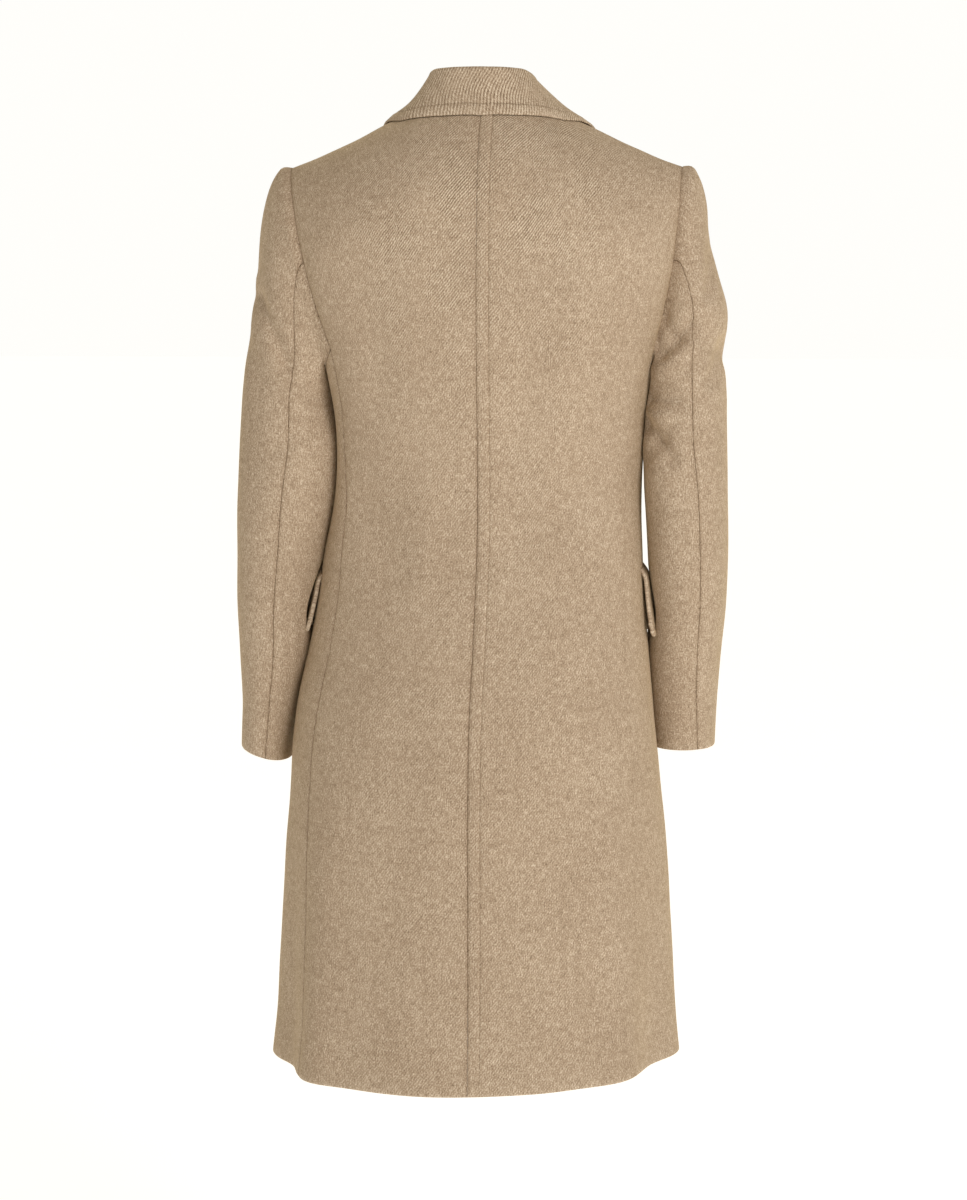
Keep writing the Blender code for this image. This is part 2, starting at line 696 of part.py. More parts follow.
def collar_section(position):
    """Middle of the collar cloth from the neck edge over the fold to the outer edge."""
    side = LEFT if position >= 0.0 else RIGHT
    place = min(abs(position), 1.0)
    roll_x, roll_y, roll_level, edge_angle, edge_reach = COLLAR.at(place)
    neck_angle, neck_depth = neck_place(side, place)
    up = np.array([0.0, 0.0, 1.0])
    base = torso(neck_angle, neck_depth)
    inward = -np.array([base[0], base[1], 0.0]) / math.hypot(base[0], base[1])
    base = base + inward * (WALL / 2 + COLLAR_INSET) + up * COLLAR_RISE
    lean = COLLAR_LEAN * smooth_step(*LEAN_LEVELS, roll_level)
    roll = np.array([side * roll_x + lean, roll_y, roll_level])
    outward = np.array([roll[0], roll[1], 0.0]) / math.hypot(roll[0], roll[1])
    radius = COLLAR_FOLD_RADIUS
    centre = roll - up * radius
    start = centre - outward * radius
    section = [lerp(base, start, k / STAND_STEPS) for k in range(STAND_STEPS)]
    for k in range(FOLD_STEPS + 1):
        turn = math.pi * k / FOLD_STEPS
        section.append(centre + radius * (math.sin(turn) * up - math.cos(turn) * outward))
    top = section[-1]
    clear = WALL / 2 + COLLAR_LAY_GAP
    edge_turn = side * math.radians(edge_angle)
    edge = torso(edge_turn, edge_reach) + normal_of(torso, edge_turn, edge_reach) * clear
    for k in range(1, FALL_STEPS + 1):
        t = k / FALL_STEPS
        foot = lerp(neck_angle, edge_turn, t), lerp(neck_depth, edge_reach, t)
        ground = torso(*foot)
        normal = normal_of(torso, *foot)
        point = lerp(lerp(top, edge, t), ground + normal * clear, FALL_HOLLOW * math.sin(math.pi * t))
        height = float(np.dot(point - ground, normal))
        section.append(point + max(clear - height, 0.0) * normal)
    return section


def build_collar():
    """Collar: one folded sheet of stand and fall round the neck."""
    positions = np.linspace(-1.0, 1.0, COLLAR_COLUMNS + 1)
    points = np.array([collar_section(position) for position in positions])
    normals = grid_normals(points)
    return sheet_from_grid(points + normals * WALL / 2, normals, WALL)


def lapel_corners(side, share):
    """Places of the roll line and of the free edge at a share of the lapel's length, as (x, level)."""
    low_roll, low_edge = LAPEL_FOOT_SHARES[side]
    t = lerp(low_roll, LAPEL_TOP_SHARE, share)
    level = lerp(BREAK_LEVEL, GORGE_LEVEL, t)
    roll = np.array([roll_line_x(level), level])
    e = lerp(low_edge, 1.0, share)
    edge = np.array([
        lerp(LAPEL_FOOT_EASE - FRONT_EXTENSION, LAPEL_TIP_X, e) + LAPEL_BELLY * math.sin(math.pi * e),
        lerp(BREAK_LEVEL, LAPEL_TIP_LEVEL, e),
    ])
    return roll, edge


def build_lapel(side):
    """Lapel turned back on the front, from its roll line to its free edge, notched under the collar."""
    places = {}
    notch = np.array([NOTCH_X, NOTCH_LEVEL])
    for j in range(LAPEL_COLUMNS + 1):
        roll, edge = lapel_corners(side, j / LAPEL_COLUMNS)
        for i in range(LAPEL_ROWS + 1):
            t = i / LAPEL_ROWS
            point = lerp(roll, edge, t)
            bend = smooth_step(0.6, 1.0, j / LAPEL_COLUMNS)
            corner = lerp(roll, notch, t / NOTCH_SHARE)
            if t > NOTCH_SHARE:
                corner = lerp(notch, edge, (t - NOTCH_SHARE) / (1.0 - NOTCH_SHARE))
            x, level = lerp(point, corner, bend)
            angle = front_angle(side, x, level)
            places[i, j] = angle, reach_at(angle, level)

    def lift(i, j):
        return WALL + LAPEL_GAP + LAPEL_STAND_OFF * (j / LAPEL_COLUMNS) * (i / LAPEL_ROWS) ** 0.5

    return sheet_from(front_cloth(side), places, WALL, lift)


def build_flap(side):
    """Pocket flap of double cloth, sewn along its top and standing off at its foot."""
    top, foot = FLAP_LEVELS
    first, last = (math.radians(degrees) for degrees in FLAP_ANGLES)
    places = {}
    for i in range(FLAP_COLUMNS + 1):
        share = 0.5 - 0.5 * math.cos(math.pi * i / FLAP_COLUMNS)
        angle = side * lerp(first, last, share)
        from_end = min(share, 1.0 - share) * FLAP_LENGTH
        cut = max(FLAP_CORNER - from_end, 0.0)
        short = FLAP_CORNER - math.sqrt(max(FLAP_CORNER**2 - cut**2, 0.0))
        for j in range(FLAP_ROWS + 1):
            level = lerp(top, foot + FLAP_CORNER_DEPTH * short, j / FLAP_ROWS)
            places[i, j] = angle, reach_at(angle, level)

    def lift(i, j):
        return FLAP_WALL + FLAP_GAP + FLAP_STAND_OFF * (j / FLAP_ROWS) ** 1.4

    return sheet_from(front_cloth(side), places, FLAP_WALL, lift)


def build_button(level):
    """Round button with a raised rim on the right front, on the centre line."""
    surface = front_cloth(RIGHT)
    angle = front_angle(RIGHT, 0.0, level)
    reach = reach_at(angle, level)
    normal = normal_of(surface, angle, reach)
    middle = surface(angle, reach) + normal * BUTTON_GAP
    across = np.cross(normal, [0.0, 0.0, 1.0])
    across /= np.linalg.norm(across)
    up = np.cross(across, normal)
    points, faces = [], []
    for radius, height in BUTTON_SECTION:
        for k in range(BUTTON_SIDES):
            turn = 2.0 * math.pi * k / BUTTON_SIDES
            spoke = math.cos(turn) * across + math.sin(turn) * up
            points.append(middle + radius * BUTTON_RADIUS * spoke + height * normal)
    rings = len(BUTTON_SECTION)
    for r in range(rings - 1):
        for k in range(BUTTON_SIDES):
            n = (k + 1) % BUTTON_SIDES
            low, high = r * BUTTON_SIDES, (r + 1) * BUTTON_SIDES
            faces.append((low + n, low + k, high + k, high + n))
    faces.append(tuple(range(BUTTON_SIDES)))
    faces.append(tuple(reversed(range((rings - 1) * BUTTON_SIDES, rings * BUTTON_SIDES))))
    return np.array(points) * MM, faces


def add_material(name, color, roughness):
    material = bpy.data.materials.new(name)
    material.use_nodes = True
    shader = material.node_tree.nodes["Principled BSDF"]
    shader.inputs["Base Color"].default_value = (*color, 1.0)
    shader.inputs["Roughness"].default_value = roughness
    return material


def add_object(name, shape, material):
    points, faces = shape
    mesh = bpy.data.meshes.new(name)
    mesh.from_pydata([tuple(point) for point in points], [], faces)
    mesh.materials.append(material)
    mesh.validate()
    thing = bpy.data.objects.new(name, mesh)
    bpy.context.scene.collection.objects.link(thing)


def main():
    for thing in list(bpy.data.objects):
        bpy.data.objects.remove(thing)
    sides = {"left": LEFT, "right": RIGHT}
    shapes = {}
    for word, side in sides.items():
        shapes[f"back_{word}"] = build_back(side)
        shapes[f"side_{word}"] = build_side(side)
        shapes[f"front_{word}"] = build_front(side)
        shapes[f"sleeve_{word}_upper"] = build_sleeve(side, True)
        shapes[f"sleeve_{word}_under"] = build_sleeve(side, False)
        shapes[f"lapel_{word}"] = build_lapel(side)
        shapes[f"pocket_flap_{word}"] = build_flap(side)
    shapes["collar"] = build_collar()
    for name, shape in shapes.items():
        add_object(name, shape, add_material(f"wool_{name}", WOOL_COLOR, WOOL_ROUGHNESS))
    for word, level in zip(("top", "middle", "low"), BUTTON_LEVELS):
        name = f"button_{word}"
        add_object(name, build_button(level), add_material(f"horn_{name}", HORN_COLOR, HORN_ROUGHNESS))


if __name__ == "__main__":
    main()
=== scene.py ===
"""Tailored wool coat: cloth shells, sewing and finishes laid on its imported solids.

Sizes are in millimetres in the frame of the solids and become metres when a mesh is made.
A point of the body cloth is found by an angle, round from the centre back and positive to the left,
and by a reach, the length of cloth down from the shoulder ridge.
"""

import logging
import math
from dataclasses import dataclass, field, replace
from enum import Enum
from typing import Any, Callable

import bpy
import numpy as np
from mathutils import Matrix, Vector


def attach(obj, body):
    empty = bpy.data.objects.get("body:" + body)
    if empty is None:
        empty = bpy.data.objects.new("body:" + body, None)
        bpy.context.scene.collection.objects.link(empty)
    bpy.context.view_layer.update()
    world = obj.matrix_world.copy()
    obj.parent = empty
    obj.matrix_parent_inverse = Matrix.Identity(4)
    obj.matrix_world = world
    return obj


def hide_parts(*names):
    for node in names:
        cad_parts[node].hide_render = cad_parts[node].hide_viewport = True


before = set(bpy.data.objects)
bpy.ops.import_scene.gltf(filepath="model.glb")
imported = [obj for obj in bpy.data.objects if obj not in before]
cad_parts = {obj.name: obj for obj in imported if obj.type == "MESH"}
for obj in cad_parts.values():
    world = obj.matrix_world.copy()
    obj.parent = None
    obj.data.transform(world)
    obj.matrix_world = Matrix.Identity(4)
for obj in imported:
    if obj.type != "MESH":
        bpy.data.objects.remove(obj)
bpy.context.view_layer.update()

Array = np.ndarray
Surface = Callable[[Array, Array], Array]

LOG = logging.getLogger("coat")
MM = 0.001
# SEAM_NAME carries painted shade: a share that darkens the cloth's colour beside seams, as if their valleys
# were in shade
UV_NAME, SEAM_NAME, EDGE_NAME, LIE_NAME = "cloth", "painted_seam_shade", "edge_near", "lie"


class Side(Enum):
    """Side of the wearer that a piece belongs to, with the sign of its X."""

    LEFT = 1
    RIGHT = -1

    @property
    def word(self) -> str:
        """Word for the side in the names of pieces."""
        return self.name.lower()


class Table:
    """Rows of numbers, read smoothly between rows by the first column."""

    def __init__(self, *rows: tuple[float, ...]) -> None:
        """Sort the rows and work out their slopes.

        Args:
            rows: The key of a row, then its values.
        """
        table = np.array(sorted(rows), float)
        self.keys = table[:, 0]
        self.values = table[:, 1:]
        self.slopes = np.gradient(self.values, self.keys, axis=0)

    def at(self, key: Array | float) -> Array:
        """Read the table.

        Args:
            key: One key or an array of keys.

        Returns:
            The values, in a last axis added to the keys' shape.
        """
        key = np.clip(np.asarray(key, float), self.keys[0], self.keys[-1])
        i = np.clip(np.searchsorted(self.keys, key) - 1, 0, len(self.keys) - 2)
        step = (self.keys[i + 1] - self.keys[i])[..., None]
        t = (key - self.keys[i])[..., None] / step
        return (
            self.values[i] * (2 * t**3 - 3 * t**2 + 1)
            + self.slopes[i] * step * (t**3 - 2 * t**2 + t)
            + self.values[i + 1] * (3 * t**2 - 2 * t**3)
            + self.slopes[i + 1] * step * (t**3 - t**2)
        )

    def split(self, key: Array | float) -> tuple[Array, ...]:
        """Values of each column at the keys, one array a column."""
        return tuple(np.moveaxis(self.at(key), -1, 0))


# Body: level, half width, back depth, front depth, sway to the left, squareness
BODY = Table(
    (40, 216, 104, 98, 0, 2.6),
    (-60, 216, 112, 106, 0, 2.6),
    (-145, 205, 120, 114, 0, 2.6),
    (-210, 192, 122, 120, 0, 2.5),
    (-260, 179, 119, 124, 0, 2.4),
    (-300, 171, 114, 122, 0, 2.3),
    (-350, 166, 108, 117, 0, 2.25),
    (-405, 164, 105, 113, 0, 2.2),
    (-459, 165.5, 109, 112, 0.5, 2.2),
    (-500, 168, 117, 114, 1.5, 2.15),
    (-555, 175, 129, 118, 4, 2.1),
    (-620, 184.5, 142, 124, 8, 2.1),
    (-700, 194.5, 152, 132, 10, 2.1),
    (-770, 202, 158, 139, 10.5, 2.1),
    (-838, 205.8, 164, 146, 10.5, 2.1),
    (-893, 208.5, 170, 151, 10.5, 2.1),
    (-948, 211, 176, 156, 10.5, 2.1),
    (-1010, 216.5, 184, 162, 10.5, 2.1),
)

# Shoulder ridge: distance from the centre, level
RIDGE = Table(
    (-30, 12.5), (0, 15.5), (30, 12.5), (55, 6), (72, 0), (90, -9.5), (113, -21),
    (135, -32), (157, -42), (181, -52), (203, -59), (217, -62.5),
)

# Seams of the body: level, centre back angle, left side seam angle, right side seam angle
SEAMS = Table(
    (40, 0, 54, -71),
    (-247, 0, 54, -71),
    (-330, 0, 56.5, -66),
    (-403, 0, 58.2, -62),
    (-506, 0, 59.2, -60),
    (-652, -1, 59.2, -60.5),
    (-768, -1.4, 56, -58),
    (-971, -1.8, 53.5, -57),
    (-1010, -1.8, 53, -57),
)

# Flutes of the hem: angle, half spread in degrees, height at the hem
FLUTES = (
    (46, 9, 9), (65, 9, -9), (86, 9, 4), (10, 16, 3), (-46, 9, 6),
    (-66, 10, -10), (-86, 8, 4), (112, 10, -7), (134, 11, 8), (-110, 10, -6),
    (-136, 12, 7),
)

# Swell of the left side, hollow under the arm and full over the hip: level, height
SIDE_SWELL = Table(
    (40, 0), (-80, 0), (-130, 0), (-185, -6), (-240, -14), (-300, -14.5),
    (-350, -12.5), (-405, -5), (-459, 4.5), (-510, 7.5), (-560, 7.5), (-620, 8.5),
    (-665, 7), (-707, 3.5), (-770, 0.8), (-838, 0), (-1010, 0),
)

# Armhole: level and angle up the back, angle and level under the arm, level and angle up the front
ARMHOLE_BACK = {
    Side.LEFT: Table(
        (-40, 63.5), (-66, 63.5), (-105, 60.6), (-150, 58.6), (-205, 56.4), (-247, 54)
    ),
    Side.RIGHT: Table(
        (-40, 63.5), (-66, 63.5), (-105, 65.4), (-150, 68.4), (-205, 71), (-247, 71)
    ),
}
ARMHOLE_UNDER = {
    Side.LEFT: Table(
        (54, -247), (60.5, -259), (71, -269.5), (90, -275), (103, -271), (112, -262),
        (118.5, -242),
    ),
    Side.RIGHT: Table(
        (71, -247), (74.5, -259), (81, -268), (92, -273), (103, -270), (112, -262),
        (118.5, -242),
    ),
}
ARMHOLE_FRONT = Table((-40, 116.5), (-100, 117.5), (-150, 119.3), (-200, 120.3), (-242, 118.5))
BACK_CORNERS = {Side.LEFT: (54, -247), Side.RIGHT: (71, -247)}

# Sleeves: level, outer edge, inner edge, middle in depth, half depth
SLEEVES = {
    Side.LEFT: Table(
        (-300, 258, 157, 1, 63),
        (-350, 261, 152, 1, 63.5),
        (-408, 263.8, 159.5, 0, 63),
        (-460, 265.5, 170, -4, 62),
        (-516, 267, 182, -9, 61),
        (-570, 265.5, 189.5, -14, 60),
        (-624, 263.8, 202.5, -19, 59),
        (-674, 265, 212, -23, 58.5),
    ),
    Side.RIGHT: Table(
        (-300, 251.5, 164, 2, 62),
        (-350, 252.5, 162, 2, 62.5),
        (-408, 253.6, 166, -1, 62),
        (-460, 254.5, 169.5, -8, 61),
        (-516, 252.5, 171.5, -20, 58.5),
        (-570, 248, 168.5, -36, 55),
        (-624, 244.5, 169.5, -51, 52),
        (-674, 242.5, 172.5, -62, 50),
    ),
}

# Sleeve seams: place along the sleeve (0 armhole, 1 under the cap, 2 cuff), back seam, front seam
SLEEVE_SEAMS = {
    Side.LEFT: Table(
        (0, 75.5, 266), (0.35, 87, 264.6), (0.8, 100.5, 262.6), (1.02, 98.5, 262), (1.25, 93, 263),
        (1.5, 96, 264), (2, 104.5, 266),
    ),
    Side.RIGHT: Table(
        (0, 80.5, 266), (0.4, 76.5, 264.4), (0.7, 70.5, 263.2), (0.9, 76.5, 262.4), (1.05, 77, 262.2),
        (1.25, 71, 263), (1.5, 70.5, 264), (1.75, 67.5, 265), (2, 62, 266),
    ),
}

# Sleeve folds: level, angle, half spread in degrees, half width, height, drop of the fold per degree
SLEEVE_FOLDS = {
    Side.LEFT: (
        (-190, 15, 45, 60, -6, 0),
        (-262, 48, 38, 17, -4, -0.7),
        (-350, 130, 40, 18, 3, 0.4),
        (-330, 250, 50, 16, -4, 0.3),
        (-385, 240, 50, 18, 3, 0.3),
    ),
    Side.RIGHT: (
        (-130, 10, 45, 24, -4, 0),
        (-207, 12, 45, 30, 7, 0.2),
        (-246, 30, 50, 12, -4, 0.3),
        (-225, 112, 30, 14, -4, 0.9),
        (-290, 118, 40, 13, -4, 0.2),
        (-335, 120, 40, 14, -4, -0.8),
        (-330, 250, 50, 16, -4, 0.3),
    ),
}

# Clearance of the sleeve from the body: level, gap (wider where the pocket flap lies between them)
SLEEVE_GAPS = Table(
    (-40, -60), (-200, -30), (-240, -5), (-258, 0.6), (-275, 1), (-300, 0.5),
    (-440, 0.3), (-468, 0.5), (-484, 5.2), (-543, 6.4), (-550, 2.6), (-557, 0.5), (-600, 0.4),
    (-700, 0.5),
)

# Collar: place from centre back to front end, roll (across, depth, level), edge (angle, reach)
COLLAR = Table(
    (0, 0, 57, 38.5, 0, 78),
    (0.2, 28, 50, 38.5, 11.6, 67),
    (0.36, 45, 30, 37.5, 21.2, 45),
    (0.52, 52, 2, 33, 26.6, 4),
    (0.68, 55, -26, 23, 29.4, -36),
    (0.84, 57.5, -48, 7, 31.3, -56),
    (1, 61, -63, -12, 31.4, -67),
)


def lerp(a: Any, b: Any, t: Any) -> Any:
    """Point between a and b at the share t."""
    return a + (b - a) * t


def smooth_step(low: float, high: float, value: Array | float) -> Array:
    """Soft rise from 0 at low to 1 at high."""
    t = np.clip((np.asarray(value, float) - low) / (high - low), 0.0, 1.0)
    return t * t * (3.0 - 2.0 * t)


def unit(vectors: Array) -> Array:
    """Vectors of length 1 in the same directions."""
    return vectors / np.maximum(np.linalg.norm(vectors, axis=-1, keepdims=True), 1e-9)


def superellipse(angle: Array, squareness: Array | float) -> tuple[Array, Array]:
    """Unit section of a squared ellipse.

    Args:
        angle: Angle from the centre back.
        squareness: Power of the section, 2 for an ellipse.

    Returns:
        The shares across and behind.
    """
    s, c = np.sin(angle), np.cos(angle)
    size = (np.abs(s) ** squareness + np.abs(c) ** squareness) ** (-1.0 / squareness)
    return size * s, size * c


@dataclass(frozen=True)
class BodyForm:
    """Outer form of the body cloth, that of the solids apart from a hollow under the left arm."""

    wall: float = 2.5
    seam_gap: float = 0.03
    body_radius: float = 130.0
    shoulder_radius: float = 110.0
    top_half_width: float = 216.0
    top_squareness: float = 2.6
    front_corner: tuple[float, float] = (118.5, -242.0)
    tip_back: float = 63.5
    tip_front: float = 116.5
    neck_angle: float = 18.8
    neck_drop: float = 19.5
    gorge_angle: float = 16.3
    gorge_reach: float = 72.5
    front_extension: float = 22.0
    break_level: float = -290.0
    gorge_x: float = 62.0
    gorge_level: float = -20.0
    lap_lift: float = 3.3
    lap_fade: tuple[float, float] = (27.0, 48.0)
    lap_cosine: float = -0.5
    hem_base: float = -1001.0
    hem_tilt: float = 5.0
    hem_side_rise: float = 2.0
    flute_start: float = -600.0
    flute_most: float = 1.1
    flute_power: float = 1.6
    clearing_blend: float = 3.0
    swell_angle: float = 92.0
    swell_spread: float = 26.0

    def ridge_level(self, angle: Array) -> Array:
        """Level of the shoulder ridge above the cloth at an angle."""
        across = self.top_half_width * superellipse(angle, self.top_squareness)[0]
        return RIDGE.at(np.abs(across))[..., 0]

    def drop_of(self, reach: Array) -> Array:
        """Fall in level over a length of cloth from the shoulder ridge.

        Args:
            reach: Length of cloth.

        Returns:
            Drop in level.
        """
        radius = self.shoulder_radius
        curved = radius * (1.0 - np.cos(np.minimum(reach / radius, math.pi / 2)))
        return curved + np.maximum(reach - radius * math.pi / 2, 0.0)

    def reach_of(self, drop: Array) -> Array:
        """Length of cloth from the shoulder ridge down to a drop in level.

        Args:
            drop: Drop in level.

        Returns:
            Length of cloth.
        """
        radius = self.shoulder_radius
        curved = radius * np.arccos(1.0 - np.clip(drop / radius, 0.0, 1.0))
        return curved + np.maximum(drop - radius, 0.0)

    def reach_at(self, angle: Array, level: Array) -> Array:
        """Reach of the cloth at an angle and a level."""
        return self.reach_of(self.ridge_level(angle) - level)

    def level_at(self, angle: Array, reach: Array) -> Array:
        """Level of the cloth at an angle and a reach."""
        return self.ridge_level(angle) - self.drop_of(np.abs(reach))

    def flute(self, angle: Array, level: Array) -> Array:
        """Outward wave of the skirt, full at the hem and none above its start.

        Args:
            angle: Angles from the centre back.
            level: Levels of the cloth.

        Returns:
            Heights of the wave.
        """
        share = (self.flute_start - level) / (self.flute_start - self.hem_base)
        share = np.clip(share, 0.0, self.flute_most) ** self.flute_power
        degrees = np.degrees(np.arctan2(np.sin(angle), np.cos(angle)))
        return share * sum(high * np.exp(-(((degrees - mid) / wide) ** 2)) for mid, wide, high in FLUTES)

    def side_swell(self, angle: Array, level: Array) -> Array:
        """Outward swell of the left side."""
        off = (np.degrees(angle) - self.swell_angle) / self.swell_spread
        return SIDE_SWELL.at(level)[..., 0] * np.exp(-off * off)

    def torso(self, angle: Array, reach: Array) -> Array:
        """Outer points of the body cloth.

        Args:
            angle: Angle from the centre back, positive to the left.
            reach: Length of cloth from the shoulder ridge, below zero past the ridge on the other side.

        Returns:
            Points in millimetres.
        """
        angle, reach = np.broadcast_arrays(np.asarray(angle, float), np.asarray(reach, float))
        angle = np.where(reach < 0.0, np.copysign(math.pi, angle) - angle, angle)
        reach = np.abs(reach)
        level = self.level_at(angle, reach)
        half_width, back, front, sway, squareness = BODY.split(level)
        across, behind = superellipse(angle, squareness)
        rounding = np.sin(np.minimum(reach / self.shoulder_radius, math.pi / 2))
        depth = np.where(behind > 0.0, back, front)
        wave = self.flute(angle, level) + self.side_swell(angle, level)
        x = sway + half_width * across + wave * np.sin(angle)
        return np.stack([x, depth * behind * rounding + wave * np.cos(angle), level], axis=-1)

    def normal(self, surface: Surface, angle: Array, reach: Array) -> Array:
        """Outward unit normals of a surface given by angle and reach.

        Args:
            surface: The surface.
            angle: Angles on it.
            reach: Reaches on it.

        Returns:
            The normals.
        """
        turn, step = 0.004, 0.8
        along = surface(angle + turn, reach) - surface(angle - turn, reach)
        down = surface(angle, reach + step) - surface(angle, reach - step)
        return unit(np.cross(along, down))

    def front_angle(self, side: Side, x: Array, level: Array) -> Array:
        """Angle of the front cloth at a distance x from the centre line, positive to its own side.

        Args:
            side: Side of the front.
            x: Distances from the centre line.
            level: Levels.

        Returns:
            The angles.
        """
        half_width, _, _, sway, squareness = BODY.split(level)
        ratio = (x - side.value * sway) / half_width
        behind = -((1.0 - np.abs(ratio) ** squareness) ** (1.0 / squareness))
        angle = np.arctan2(ratio, behind)
        return side.value * np.where(angle > 0.0, angle, angle + 2.0 * math.pi)

    def front_cloth(self, side: Side) -> Surface:
        """Outer surface of one front. The right front laps over the left one at the centre.

        Args:
            side: Side of the front.

        Returns:
            The surface by angle and reach.
        """

        def surface(angle: Array, reach: Array) -> Array:
            """Outer points of the front by angle and reach.

            Args:
                angle: Angles from the centre back.
                reach: Lengths of cloth from the shoulder ridge.

            Returns:
                The points.
            """
            point = self.torso(angle, reach)
            if side is Side.LEFT:
                return point
            lift = self.lap_lift * (1.0 - smooth_step(*self.lap_fade, side.value * point[..., 0]))
            lift = np.where(np.cos(angle) > self.lap_cosine, 0.0, lift)
            return point + lift[..., None] * self.normal(self.torso, angle, reach)

        return surface

    def roll_line_x(self, level: Array) -> Array:
        """Distance of the lapel's roll line from the centre, positive to its own side."""
        share = (level - self.break_level) / (self.gorge_level - self.break_level)
        return lerp(-self.front_extension, self.gorge_x, np.clip(share, 0.0, 1.0))

    def front_edge(self, side: Side, level: Array) -> Array:
        """Angle of the front edge, along the roll line above the break point."""
        return self.front_angle(side, self.roll_line_x(level), level)

    def hem_level(self, angle: Array) -> Array:
        """Level of the hem at an angle."""
        s = np.sin(angle)
        return self.hem_base - self.hem_tilt * s + self.hem_side_rise * s * s

    def centre_seam(self, level: Array | float) -> Array:
        """Angle of the centre back seam at a level."""
        return np.radians(SEAMS.at(level)[..., 0])

    def side_seam(self, side: Side, level: Array | float) -> Array:
        """Angle of a side seam at a level."""
        return np.radians(SEAMS.at(level)[..., 1 if side is Side.LEFT else 2])

    def neck_reach(self, angle: Array) -> Array:
        """Reach of the back neck edge, and of the shoulder seam beyond it.

        Args:
            angle: Angles from the centre back.

        Returns:
            The reaches.
        """
        share = np.abs(np.degrees(angle)) / self.neck_angle
        drop = self.neck_drop * np.maximum(1.0 - share * share, 0.0)
        return np.maximum(self.reach_of(drop), self.seam_gap / 2)

    def clear_of_body(self, side: Side, points: Array, gap: Array) -> Array:
        """Move sleeve points out along X until they are clear of the body cloth.

        Args:
            side: Side of the sleeve.
            points: Points of the sleeve.
            gap: Clearance to keep at each point.

        Returns:
            The moved points.
        """
        half_width, back, front, sway, squareness = BODY.split(points[..., 2])
        depth = np.where(points[..., 1] > 0.0, back, front)
        ratio = np.minimum(np.abs(points[..., 1]) / depth, 1.0)
        share = (1.0 - ratio**squareness) ** (1.0 / squareness)
        limit = half_width * share + gap
        if side is Side.LEFT:
            around = np.arctan2(share, np.copysign(ratio, points[..., 1]))
            limit = limit + self.side_swell(around, points[..., 2])
        own = side.value * (points[..., 0] - sway)
        blend = self.clearing_blend
        t = np.maximum(own - limit + blend, 0.0) / (2.0 * blend)
        own = np.where(own < limit + blend, limit + blend * t * t, own)
        return np.stack([sway + side.value * own, points[..., 1], points[..., 2]], axis=-1)


FORM = BodyForm()


# Mesh lines beside an edge: shares of its roll, places in a dip or swell, places about a row of stitches
ROLL_LINES = (0.0, 0.05, 0.2, 0.5, 1.0)
SWELL_LINES = (3.0, 5.5, 8.5, 12.0)
STITCH_LINES = (-2.6, -1.2, -0.5, 0.0, 0.5, 1.2, 2.6)


@dataclass(frozen=True)
class Edge:
    """How one edge of a cut piece is finished.

    A seam rolls the wall in to its middle, so that two pieces meet in a fine valley. A row of stitches
    pulls a groove, and the strip between it and the edge stands up on the seam allowance below.
    """

    roll: float = 0.9
    seam: float = 1.0
    dip: float = 0.0
    dip_width: float = 7.0
    swell: float = 0.0
    swell_at: float = 8.0
    swell_spread: float = 0.7
    stitch: float = 0.0
    groove: float = 0.5
    groove_width: float = 1.1
    strip: float = 0.0
    strip_rise: float = 2.5
    strip_fall: float = 1.6
    faint_below: tuple[float, float, float] | None = None
    faint_above: tuple[float, float, float] | None = None
    plain_below: tuple[float, float] | None = None

    def lines(self) -> Array:
        """Distances from the edge that need a line of the mesh.

        Returns:
            The distances, rising.
        """
        found = [self.roll * share for share in ROLL_LINES]
        if self.dip or self.swell:
            found += SWELL_LINES
        if self.stitch:
            found += [self.stitch + off for off in STITCH_LINES]
        return np.array(sorted(found))

    def strength(self, level: Array) -> Array:
        """Share of the roll that shows at a level.

        Args:
            level: Levels along the edge.

        Returns:
            The shares.
        """
        shown = np.ones_like(level)
        if self.faint_below is not None:
            low, high, share = self.faint_below
            shown = shown * lerp(share, 1.0, smooth_step(low, high, level))
        if self.faint_above is not None:
            low, high, share = self.faint_above
            shown = shown * lerp(1.0, share, smooth_step(low, high, level))
        return shown

    def height(self, distance: Array, level: Array) -> Array:
        """Rise of the cloth beside the edge.

        Args:
            distance: Distance of each point from the edge.
            level: Level of each point.

        Returns:
            Height of each point over the plain form.
        """
        shown = self.strength(level)
        total = -self.dip * shown * np.exp(-((distance / self.dip_width) ** 2))
        off = (distance - self.swell_at) / (self.swell_spread * self.swell_at)
        total += self.swell * np.exp(-(off**2))
        if self.stitch:
            kept = 1.0 if self.plain_below is None else smooth_step(*self.plain_below, level)
            fallen = smooth_step(self.stitch - self.strip_fall, self.stitch, distance)
            crest = smooth_step(0.0, self.strip_rise, distance) * (1.0 - fallen)
            pulled = np.exp(-(((distance - self.stitch) / self.groove_width) ** 2))
            total += kept * (self.strip * crest - self.groove * pulled)
        return total


SEAM = Edge(dip=0.45)
FREE = Edge(roll=1.5, seam=0.0)
TOPSTITCHED = Edge(roll=1.5, seam=0.0, stitch=11.5, groove=0.55, strip=0.15)


# How far the cloth faces the viewer, as a cosine, where a crease begins to show and where it is full
CREASE_TURN = (-0.2, 0.35)


@dataclass(frozen=True)
class Crease:
    """Soft trough or ridge of the worn cloth along a line, seen from behind or from the front."""

    x0: float
    z0: float
    x1: float
    z1: float
    width: float
    height: float
    facing: int = 1

    def rise(self, points: Array, normals: Array) -> Array:
        """Height of the crease at points with these normals.

        Args:
            points: Points of the cloth.
            normals: Their normals.

        Returns:
            The heights.
        """
        x, z = points[..., 0] - self.x0, points[..., 2] - self.z0
        dx, dz = self.x1 - self.x0, self.z1 - self.z0
        t = np.clip((x * dx + z * dz) / (dx * dx + dz * dz), 0.0, 1.0)
        off = ((x - t * dx) ** 2 + (z - t * dz) ** 2) / self.width**2
        return self.height * np.exp(-off) * smooth_step(*CREASE_TURN, self.facing * normals[..., 1])


